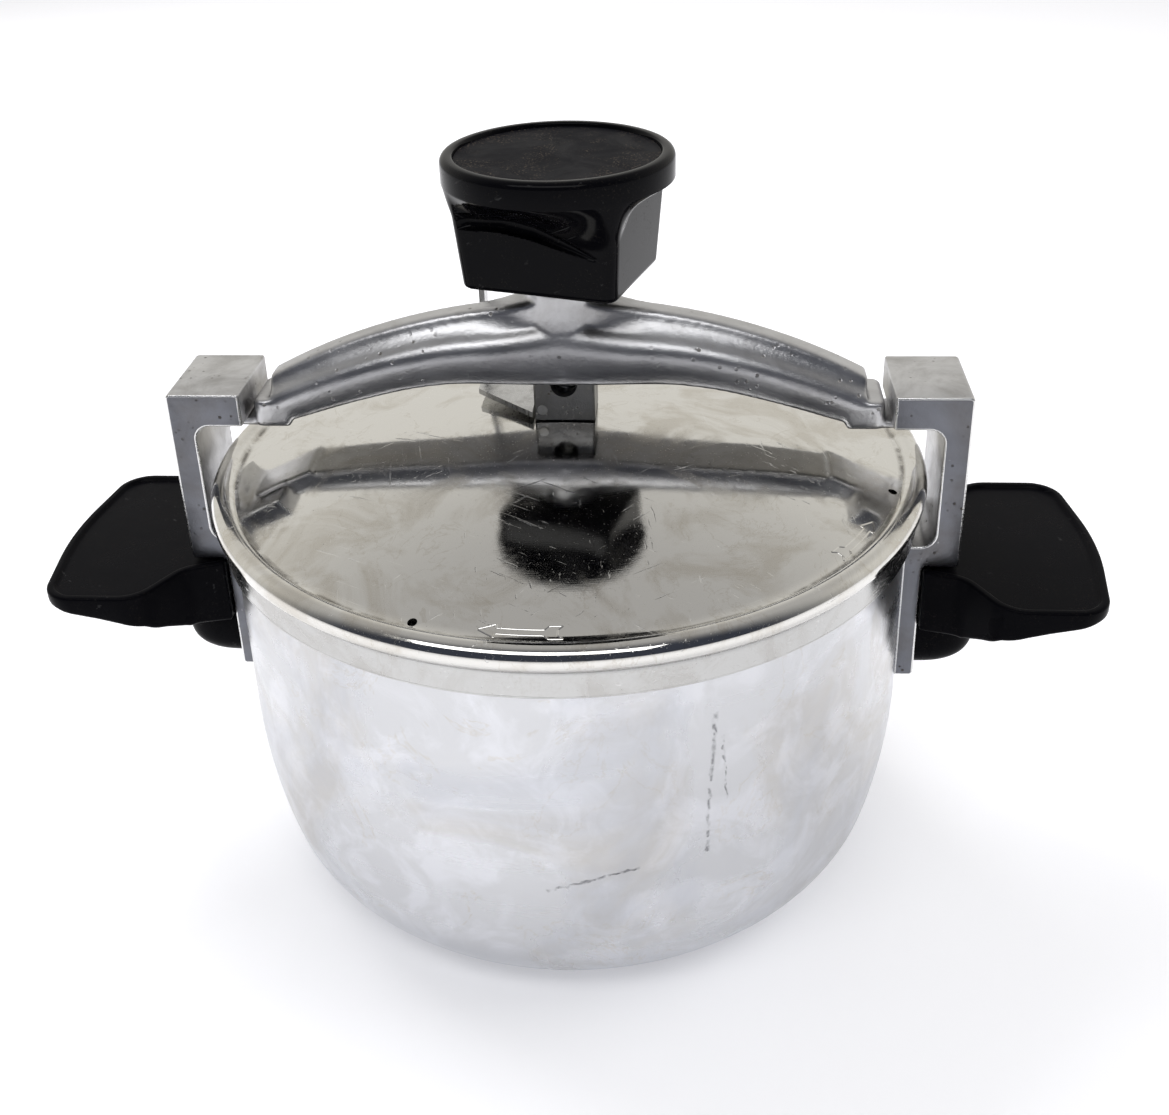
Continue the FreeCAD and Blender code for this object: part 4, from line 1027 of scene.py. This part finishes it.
class COOKER_OT_brackets(bpy.types.Operator):
    """Cast the two hooked brackets"""

    bl_idname = "cooker.brackets"
    bl_label = "Brackets"

    def execute(self, context):
        fillet = size.bracket_fillet
        outline = rounded([
            (size.hook_end, size.hook_top, 0.8),
            (size.hook_end, size.hook_bottom, 0.8),
            (size.web_inner, size.hook_bottom, fillet),
            (size.web_inner, size.foot_top, fillet),
            (size.leg_inner, size.foot_top, 0),
            (size.leg_inner, size.leg_bottom, 0),
            (size.leg_outer, size.leg_bottom, 1.6),
            (size.leg_outer, size.foot_bottom, 1.6),
            (size.web_outer, size.foot_bottom, 1.6),
            (size.web_outer, size.hook_top, 1.6),
        ])
        half = size.bracket_width / 2
        rings = [np.column_stack([outline[:, 0], np.full(len(outline), y), outline[:, 1]])
                 for y in (-half, half)]
        bracket = new_piece(
            "right_bracket_cast", *skin(rings, caps=True), finishes["bracket"], finishes["edge"],
            finishes["side"])
        settle(bracket)
        # Painted shade: the broad front and back faces take the darker copy of the bracket metal.
        for face in bracket.data.polygons:
            if abs(face.normal.y) > 0.9:
                face.material_index = 2
        bevel = bracket.modifiers.new("Edges", "BEVEL")
        bevel.width = size.bracket_edge / 1000
        bevel.segments = 3
        bevel.limit_method = "ANGLE"
        bevel.angle_limit = math.radians(55.0)
        bevel.material = 1
        plain(bracket)
        settle(bracket, 40.0)
        on_both_sides(
            bracket, "left_bracket_cast", "cast_aluminium", "right_bracket", "left_bracket")
        return {"FINISHED"}


class COOKER_OT_yoke(bpy.types.Operator):
    """Cast the arched clamp bar with its hub and end tabs"""

    bl_idname = "cooker.yoke"
    bl_label = "Yoke"

    hub_reach = 30.0
    half_width_middle = 14.5
    half_width_taper = 3.5
    ridge_round = 2.2
    foot_step = 0.9
    pocket_low = (-11.0, -9.0, 170.0)
    pocket_high = (11.0, 9.0, 199.5)
    bore_radius = 7.6
    hub_foot = 14.2
    cove_start = 196.0
    cove_height = 14.0

    def ridge(self, x):
        """The height of the ridge and half its width, which both grow towards the hub."""
        near = max(0.0, 1.0 - abs(x) / self.hub_reach)
        base = size.yoke_apex - size.yoke_curve + math.sqrt(size.yoke_curve ** 2 - x * x)
        return base + 6.0 * near ** 2, 5.2 + 6.3 * near ** 1.4

    def underside(self, x):
        share = max(0.0, (abs(x) - size.yoke_flat) / (size.yoke_reach - size.yoke_flat))
        fall = size.yoke_bottom - size.yoke_end_bottom
        return size.yoke_bottom - fall * (1.75 * share ** 2 - 0.75 * share ** 3)

    def section(self, x):
        """Half of a section: an upright foot, a shoulder, a flank and a rounded ridge."""
        top, narrow = self.ridge(x)
        bottom = self.underside(x)
        wide = self.half_width_middle - self.half_width_taper * abs(x) / size.yoke_reach
        step, curl = self.foot_step, self.ridge_round
        tall = top - bottom
        scale = tall / 26.0
        half = [(0.0, bottom), (wide * 0.5, bottom), (wide - 1.9, bottom), (wide - 1.2, bottom + 0.2),
                (wide - step, bottom + step)]
        upright = bottom + 0.40 * tall
        rise = np.linspace(0.0, 1.0, 7)[1:]
        half += [(wide - step * (1 - t) ** 2, bottom + step + (upright - bottom - step) * t)
                 for t in rise]
        shoulder = (wide - 4.4 * scale, upright + 7.6 * scale)
        flank = ((narrow + shoulder[0]) / 2 - 0.5, (top + shoulder[1]) / 2 - 1.3)
        for curve in (
            ((wide, upright), (wide - 0.2, upright + 5.2 * scale), shoulder),
            (shoulder, flank, (narrow, top - curl)),
        ):
            for t in np.linspace(0.0, 1.0, 11)[1:]:
                half.append(tuple(
                    (1 - t) ** 2 * a + 2 * t * (1 - t) * b + t * t * c for a, b, c in zip(*curve)))
        half += arc_points((narrow - curl, top - curl), curl, 0.0, 90.0, 5)[1:]
        half.append((0.0, top))
        return half

    def execute(self, context):
        rings = []
        for x in np.linspace(-size.yoke_reach, size.yoke_reach, 165):
            half = self.section(x)
            loop = half + [(-y, z) for y, z in half[-2:0:-1]]
            rings.append(np.array([(x, y, z) for y, z in loop]))
        yoke = settle(new_piece("yoke_cast", *skin(rings, caps=True), finishes["yoke"]))
        for side in (1, -1):
            for part in self.end_pieces(side):
                combined(yoke, part, "UNION")
        hub = turned("hub", self.hub_profile(), finishes["yoke"])
        combined(yoke, settle(hub), "UNION")
        self.soften(yoke)
        pocket = new_piece("pocket", *box_points(self.pocket_low, self.pocket_high))
        combined(yoke, pocket, "DIFFERENCE")
        bore = rod("bore", self.bore_radius, (0, 0, self.pocket_high[2] - 0.5), (0, 0, 230.0))
        combined(yoke, bore, "DIFFERENCE")
        settle(yoke, 50.0)
        self.darken(yoke)
        stand_for(yoke, "yoke", "cast_aluminium", "yoke")
        return {"FINISHED"}

    def darken(self, yoke):
        """Marks the upright lower part of the arch for painted shade, standing for the dim reflection
        these faces show.
        """
        grease = yoke.data.attributes.new("grease", "FLOAT", "POINT")
        for vertex, mark in zip(yoke.data.vertices, grease.data):
            x, z = vertex.co.x * 1000, vertex.co.z * 1000
            if abs(x) > size.yoke_reach:
                continue
            bottom, top = self.underside(x), self.ridge(x)[0]
            share = min(1.0, max(0.0, (z - bottom) / (0.62 * (top - bottom))))
            mark.value = (1 - share) ** 0.6 * (1 - 0.75 * (abs(x) / size.yoke_reach) ** 2)

    def end_pieces(self, side):
        """The thick block at one end of the arch, and the tab below the hook."""
        bottom = size.yoke_end_bottom
        tab_top = size.hook_bottom - 0.4
        for inner, outer, half, top, corner in (
            (96.0, 109.0, 11.0, 175.3, 2.6), (96.0, 123.9, 10.0, tab_top, 4.0),
        ):
            plan = rounded([
                (inner, -half, 0), (outer, -half, corner), (outer, half, corner), (inner, half, 0)], 6)
            edge = 0.8
            rings = []
            for inset, z in ((edge, bottom), (0.0, bottom + edge), (0.0, top - edge), (edge, top)):
                middle = plan.mean(axis=0)
                reach = np.maximum(np.abs(plan - middle), 1e-6)
                moved = plan - np.sign(plan - middle) * np.minimum(inset, reach)
                rings.append(np.column_stack([moved[:, 0] * side, moved[:, 1], np.full(len(plan), z)]))
            yield settle(new_piece("end", *skin(rings, caps=True)))

    def hub_profile(self):
        """The hub, flush with the face of the arch below and narrowing in a cove above."""
        foot, neck, start = self.hub_foot, size.hub_neck, self.cove_start
        profile = [(0.0, 183.5), (foot - 1.0, 183.5), (foot, 186.0), (foot, start)]
        for t in np.linspace(0.0, 1.0, 12)[1:]:
            narrowing = (foot - neck) * (1 - (1 - t) ** 2)
            profile.append((foot - narrowing, start + self.cove_height * t))
        profile += [(neck, size.hub_top - 0.8), (neck - 0.8, size.hub_top)]
        return profile + [(0.0, size.hub_top)]

    def soften(self, yoke):
        """Melts the joined shapes together, as a casting's fillets do."""
        remesh = yoke.modifiers.new("Melt", "REMESH")
        remesh.mode = "VOXEL"
        remesh.voxel_size = 0.00085
        smooth = yoke.modifiers.new("Tumble", "SMOOTH")
        smooth.factor = 0.5
        smooth.iterations = 5
        plain(yoke)
        if not yoke.data.materials:
            yoke.data.materials.append(finishes["yoke"])


class COOKER_OT_knob(bpy.types.Operator):
    """Mould the clamping knob"""

    bl_idname = "cooker.knob"
    bl_label = "Knob"

    turns = 384
    turned_by = -17.0
    corner = 4.0
    draft = 2.6
    grip_height = 34.0
    band_height = 8.5
    bore_radius, bolt_radius = 5.1, 4.2
    shoulder, well_floor, well_radius = 240.0, 245.1, 12.0
    groove_left, groove_right = -25.5, 21.0
    flare_angles = (0.0, 45.0, 90.0, 135.0, 155.0, 180.0, 225.0, 270.0, 315.0, 335.0, 360.0)
    flare_starts = (250.0, 249.0, 243.5, 233.5, 244.0, 249.0, 240.5, 243.5, 233.5, 244.0, 250.0)

    def grip_radius(self, angle, height):
        """Distance from the axis of the grip's rounded rectangle, which widens upwards."""
        growth = self.draft * (height - size.knob_bottom) / self.grip_height
        a, b, corner = size.knob_length / 2 + growth, size.knob_depth / 2 + growth, self.corner
        ux, uy = abs(math.cos(angle)), abs(math.sin(angle))
        flat = min(a / max(ux, 1e-9), b / max(uy, 1e-9))
        if flat * ux <= a - corner or flat * uy <= b - corner:
            return flat
        cx, cy = a - corner, b - corner
        along = ux * cx + uy * cy
        return along + math.sqrt(max(0.0, along ** 2 - (cx * cx + cy * cy - corner ** 2)))

    def body_radius(self, angle, height, band_bottom):
        """The grip, flaring out to the round band from a boundary that rises and falls."""
        grip = self.grip_radius(angle, min(height, band_bottom))
        start = np.interp(math.degrees(angle) % 360, self.flare_angles, self.flare_starts)
        share = min(1.0, max(0.0, (height - start) / (band_bottom - start)))
        swell = share ** 2 * (2.2 - 1.2 * share)
        return grip + (size.knob_radius - grip) * swell

    def groove_depth(self, u, z):
        """Depth of the finger groove, which narrows and falls along the broad face."""
        along = [-25.5, -11.5, 0.0, 6.5, 14.0, 21.0]
        centre = np.interp(u, along, [242.0, 242.6, 240.8, 238.6, 236.0, 233.2])
        half = np.interp(u, along, [3.1, 3.2, 3.0, 2.6, 1.8, 0.6])
        step = (z - centre) / half
        if abs(step) >= 1 or u < self.groove_left or u > self.groove_right:
            return 0.0
        left = math.sqrt(min(1.0, (u - self.groove_left) / 3.0))
        bowl = (1 - step * step) ** (0.8 if step > 0 else 0.4)
        return 0.9 * half * left * bowl

    def outer_ring(self, height, band_bottom, inset=0.0):
        ring = []
        for step in range(self.turns):
            angle = math.tau * step / self.turns
            radius = self.body_radius(angle, height, band_bottom) - inset
            u, v = radius * math.cos(angle), radius * math.sin(angle)
            if height < band_bottom - 1:
                if v < -14:
                    v += self.groove_depth(u, height)
                elif v > 14:
                    v -= self.groove_depth(-u, height)
            ring.append((u, v, height))
        return np.array(ring)

    def round_ring(self, radius, height):
        angles = np.arange(self.turns) * math.tau / self.turns
        return np.column_stack([
            radius * np.cos(angles), radius * np.sin(angles), np.full(self.turns, height)])

    def execute(self, context):
        bottom, top = size.knob_bottom, size.knob_top
        band_bottom = top - self.band_height
        rings = []
        for radius, height in (
            (self.bolt_radius, self.shoulder), (self.bore_radius, self.shoulder),
            (self.bore_radius, bottom),
        ):
            rings.append(self.round_ring(radius, height))
        for inset, lift in ((1.5, 0.0), (0.9, 0.12), (0.4, 0.45), (0.1, 0.95)):
            rings.append(self.outer_ring(bottom + lift, band_bottom, inset))
        for height in np.linspace(bottom + 1.6, band_bottom, 112):
            rings.append(self.outer_ring(height, band_bottom))
        for radius, height in (
            (size.knob_radius, band_bottom + 0.5), (size.knob_radius, top - 2.2),
            (size.knob_radius - 0.15, top - 1.5), (size.knob_radius - 0.55, top - 0.8),
            (size.knob_radius - 1.2, top - 0.25), (size.knob_radius - 1.9, top),
            (34.6, top), (34.1, top - 0.15), (33.8, top - 0.6), (33.75, top - 3.4),
            (self.well_radius, top - 3.4), (self.well_radius, self.well_floor),
            (self.bolt_radius, self.well_floor),
        ):
            rings.append(self.round_ring(radius, height))
        knob = new_piece("knob_moulded", *skin(rings, closed=True), finishes["knob"])
        knob.data.transform(Matrix.Rotation(math.radians(self.turned_by), 4, "Z"))
        settle(knob, 40.0)
        stand_for(knob, "knob", "knob_plastic", "knob_body")
        return {"FINISHED"}


class COOKER_OT_handles(bpy.types.Operator):
    """Mould the two side handles"""

    bl_idname = "cooker.handles"
    bl_label = "Handles"

    screw_height = 79.0
    screw_bores = ((5.8, 133.5, 160.0), (2.8, 120.0, 140.0))
    lobe_length, lobe_half_width, lobe_half_height, lobe_middle = 22.7, 16.0, 13.1, 82.2

    def outline(self):
        half = size.handle_width / 2
        root = size.leg_outer + 0.2
        side = [(root, 21.0, 0), (137.5, 25.5, 9.0), (148.5, half, 14.0),
                (size.handle_tip - 6.6, half, 12.0)]
        other = [(x, -y, radius) for x, y, radius in reversed(side)]
        return spaced(rounded(side + [(size.handle_tip, 0.0, 130.0)] + other, 14), 300)

    def execute(self, context):
        outline = self.outline()
        ahead = np.roll(outline, -1, axis=0) - np.roll(outline, 1, axis=0)
        normal = np.column_stack([ahead[:, 1], -ahead[:, 0]])
        normal /= np.hypot(*normal.T)[:, None]
        if np.sum(normal[:, 0] * (outline[:, 0] - outline[:, 0].mean())) < 0:
            normal = -normal
        spine = np.column_stack([np.clip(outline[:, 0], 132.0, 165.0), np.zeros(len(outline))])

        def floor_of(x):
            return np.interp(
                x, [124.0, 138.0, 143.0, 148.0, 156.0, 163.5, 179.0, 188.0],
                [90.5, 91.5, 97.0, 101.6, 104.6, 106.5, 109.6, 110.6])

        def top_ring(offset, drop):
            flat = outline + normal * offset
            open_end = (flat[:, 0] < 138.6) & (np.abs(flat[:, 1]) < 18.6)
            height = np.where(open_end, size.handle_top - 1.4, size.handle_top - drop)
            return np.column_stack([flat, height])

        def low_ring(offset, lift):
            flat = outline + normal * offset
            return np.column_stack([flat, floor_of(outline[:, 0]) + lift])

        def inner_ring(share, height):
            flat = (outline - normal * 4.0) * (1 - share) + spine * share
            level = floor_of(flat[:, 0]) if height is None else np.full(len(flat), height)
            return np.column_stack([flat, level])

        rim, panel = size.handle_rim, size.handle_panel
        rings = [inner_ring(share, size.handle_top - panel) for share in (1.0, 0.7, 0.35, 0.0)]
        for offset, drop in (
            (-rim - 0.7, panel), (-rim - 0.3, panel - 0.25), (-rim, 0.35), (-rim + 0.35, 0.05),
            (-rim + 0.7, 0.0), (-0.9, 0.0), (-0.45, 0.12), (-0.12, 0.45), (0.0, 0.95),
        ):
            rings.append(top_ring(offset, drop))
        for offset, lift in ((0.0, 1.6), (-0.15, 0.9), (-0.6, 0.3), (-1.3, 0.02)):
            rings.append(low_ring(offset, lift))
        for share in (0.0, 0.35, 0.7, 1.0):
            rings.append(inner_ring(share, None))
        handle = settle(new_piece("right_handle_moulded", *skin(rings), finishes["handle"]))
        combined(handle, self.lobe(), "UNION")
        height = self.screw_height
        for radius, inner, outer in self.screw_bores:
            bore = rod("bore", radius, (inner, 0, height), (outer, 0, height))
            combined(handle, bore, "DIFFERENCE")
        settle(handle, 40.0)
        on_both_sides(
            handle, "left_handle_moulded", "handle_plastic", "right_handle", "left_handle")
        return {"FINISHED"}

    def lobe(self):
        """The rounded lower part, flat against the leg of the bracket."""
        rings = []
        x0 = size.leg_outer + 0.2
        squareness = 0.72
        for share in np.linspace(0.0, 1.0, 40):
            x = x0 + self.lobe_length * share
            swell = max(0.0, 1 - share ** 2.6) ** (1 / 2.6)
            ring = []
            for step in range(72):
                angle = math.tau * step / 72
                cy, cz = math.cos(angle), math.sin(angle)
                y = self.lobe_half_width * math.copysign(abs(cy) ** squareness, cy)
                z = self.lobe_half_height * math.copysign(abs(cz) ** squareness, cz)
                ring.append((x, y * swell, self.lobe_middle + z * swell))
            rings.append(np.array(ring))
        return settle(new_piece("lobe", *skin(rings, caps=True)))


class COOKER_OT_rivets(bpy.types.Operator):
    """Set the rivets that hold the brackets"""

    bl_idname = "cooker.rivets"
    bl_label = "Rivets"

    def tree(self):
        """Sets one rivet, a shank with a domed head, along X at each point."""
        tree, given = new_group(
            "Rivets",
            [("Points", "NodeSocketGeometry", None), ("Shank radius", "NodeSocketFloat", 0.003),
             ("Shank length", "NodeSocketFloat", 0.008), ("Head radius", "NodeSocketFloat", 0.0056),
             ("Head height", "NodeSocketFloat", 0.0022), ("Material", "NodeSocketMaterial", None)],
            piece_output, "GeometryNodeTree")
        shank = place(
            tree, "GeometryNodeMeshCylinder",
            {"Vertices": 32, "Radius": given["Shank radius"], "Depth": given["Shank length"]})
        ball = place(tree, "GeometryNodeMeshUVSphere", {"Segments": 32, "Rings": 16, "Radius": 1.0})
        swell = place(
            tree, "ShaderNodeCombineXYZ",
            {"X": given["Head radius"], "Y": given["Head radius"], "Z": given["Head height"]})
        drop = place(
            tree, "ShaderNodeCombineXYZ",
            {"Z": maths(tree, "MULTIPLY", given["Shank length"], -0.5)})
        head = place(
            tree, "GeometryNodeTransform", {"Geometry": ball, "Scale": swell, "Translation": drop})
        join = tree.nodes.new("GeometryNodeJoinGeometry")
        tree.links.new(shank, join.inputs[0])
        tree.links.new(head, join.inputs[0])
        laid = place(
            tree, "GeometryNodeInstanceOnPoints",
            {"Points": given["Points"], "Instance": join.outputs[0],
             "Rotation": (0.0, math.radians(90.0), 0.0)})
        return end_build(tree, laid, given["Material"])

    def execute(self, context):
        tree = self.tree()
        inner = size.pot_radius - size.pot_wall - 0.2
        outer = size.leg_outer
        points = [((inner + outer) / 2, 0.0, height) for height in (91.0, 107.0)]
        rivets = new_piece("right_rivets", points, [])
        tree_result(rivets, tree, {"Shank length": (outer - inner) / 1000, "Material": finishes["rivet"]})
        settle(rivets)
        on_both_sides(
            rivets, "left_rivets", "rivet_aluminium", "right_bracket_rivets", "left_bracket_rivets")
        return {"FINISHED"}


class COOKER_OT_spring(bpy.types.Operator):
    """Wind the spring of the relief valve"""

    bl_idname = "cooker.spring"
    bl_label = "Valve spring"

    def tree(self):
        tree, given = new_group(
            "Coil spring",
            [("Points", "NodeSocketGeometry", None), ("Turns", "NodeSocketFloat", 4.5),
             ("Coil radius", "NodeSocketFloat", 0.0032), ("Wire radius", "NodeSocketFloat", 0.0004),
             ("Height", "NodeSocketFloat", 0.0087), ("Bottom", "NodeSocketFloat", 0.177),
             ("Material", "NodeSocketMaterial", None)],
            piece_output, "GeometryNodeTree")
        coil = place(
            tree, "GeometryNodeCurveSpiral",
            {"Resolution": 32, "Rotations": given["Turns"], "Start Radius": given["Coil radius"],
             "End Radius": given["Coil radius"], "Height": given["Height"]})
        wire = place(
            tree, "GeometryNodeCurvePrimitiveCircle",
            {"Resolution": 12, "Radius": given["Wire radius"]})
        wound = place(
            tree, "GeometryNodeCurveToMesh",
            {"Curve": coil, "Profile Curve": wire, "Fill Caps": True})
        raised = place(tree, "ShaderNodeCombineXYZ", {"Z": given["Bottom"]})
        set_up = place(tree, "GeometryNodeTransform", {"Geometry": wound, "Translation": raised})
        return end_build(tree, set_up, given["Material"])

    def execute(self, context):
        low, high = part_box("valve_spring")
        wire = 0.0004
        spring = new_piece("valve_spring_wound", [(0.0, 0.0, 0.0)], [])
        tree_result(spring, self.tree(), {
            "Bottom": low[2] + wire + 0.0001, "Height": high[2] - low[2] - 2 * wire - 0.0001,
            "Wire radius": wire, "Material": finishes["steel"]})
        settle(spring, 60.0)
        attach(spring, "cover")
        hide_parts("valve_spring")
        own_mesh(spring)
        return {"FINISHED"}


class COOKER_OT_fittings(bpy.types.Operator):
    """Finish the pieces that keep their shape: screws, pins, seals, valve and lever"""

    bl_idname = "cooker.fittings"
    bl_label = "Fittings"

    def execute(self, context):
        kinds = {
            "block_metal": "block", "steel": "steel", "lever_steel": "lever",
            "bush_brass": "brass", "cap_plastic": "cap", "gasket_rubber": "rubber",
            "ring_rubber": "rubber", "pot_aluminium": "pot", "cover_aluminium": "cover",
            "cast_aluminium": "yoke", "rivet_aluminium": "rivet", "handle_plastic": "handle",
            "knob_plastic": "knob",
        }
        for entry in frame["record"]["subparts"]:
            piece = frame["nodes"][entry["node"]]
            for slot in piece.material_slots:
                slot.material = finishes[kinds[entry["material_slot"]]]
        return {"FINISHED"}


class COOKER_PT_pieces(bpy.types.Panel):
    """The pieces of the cooker, in the order they are made"""

    bl_label = "Pressure cooker"
    bl_idname = "COOKER_PT_pieces"
    bl_space_type = "VIEW_3D"
    bl_region_type = "UI"
    bl_category = "Cooker"

    def draw(self, context):
        column = self.layout.column()
        for operator in steps:
            column.operator(operator.bl_idname)
        for group in (context.scene.cooker_sizes, context.scene.cooker_colours):
            for name in group.bl_rna.properties.keys():
                if name not in ("rna_type", "name"):
                    column.prop(group, name)


steps = (
    COOKER_OT_stage, COOKER_OT_pot, COOKER_OT_cover, COOKER_OT_brackets, COOKER_OT_rivets,
    COOKER_OT_handles, COOKER_OT_yoke, COOKER_OT_knob,
    COOKER_OT_spring, COOKER_OT_fittings,
)
classes = (CookerSizes, CookerColours, *steps, COOKER_PT_pieces)


def register():
    for kind in classes:
        bpy.utils.register_class(kind)
    bpy.types.Scene.cooker_sizes = PointerProperty(type=CookerSizes)
    bpy.types.Scene.cooker_colours = PointerProperty(type=CookerColours)


def unregister():
    del bpy.types.Scene.cooker_colours
    del bpy.types.Scene.cooker_sizes
    for kind in reversed(classes):
        bpy.utils.unregister_class(kind)


def main():
    register()
    build_groups()
    build_materials()
    for operator in steps:
        family, name = operator.bl_idname.split(".")
        getattr(getattr(bpy.ops, family), name)()
    sizes = [[list(map(float, corner)) for corner in box] for box in (cad_box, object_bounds())]


if __name__ == "__main__":
    main()
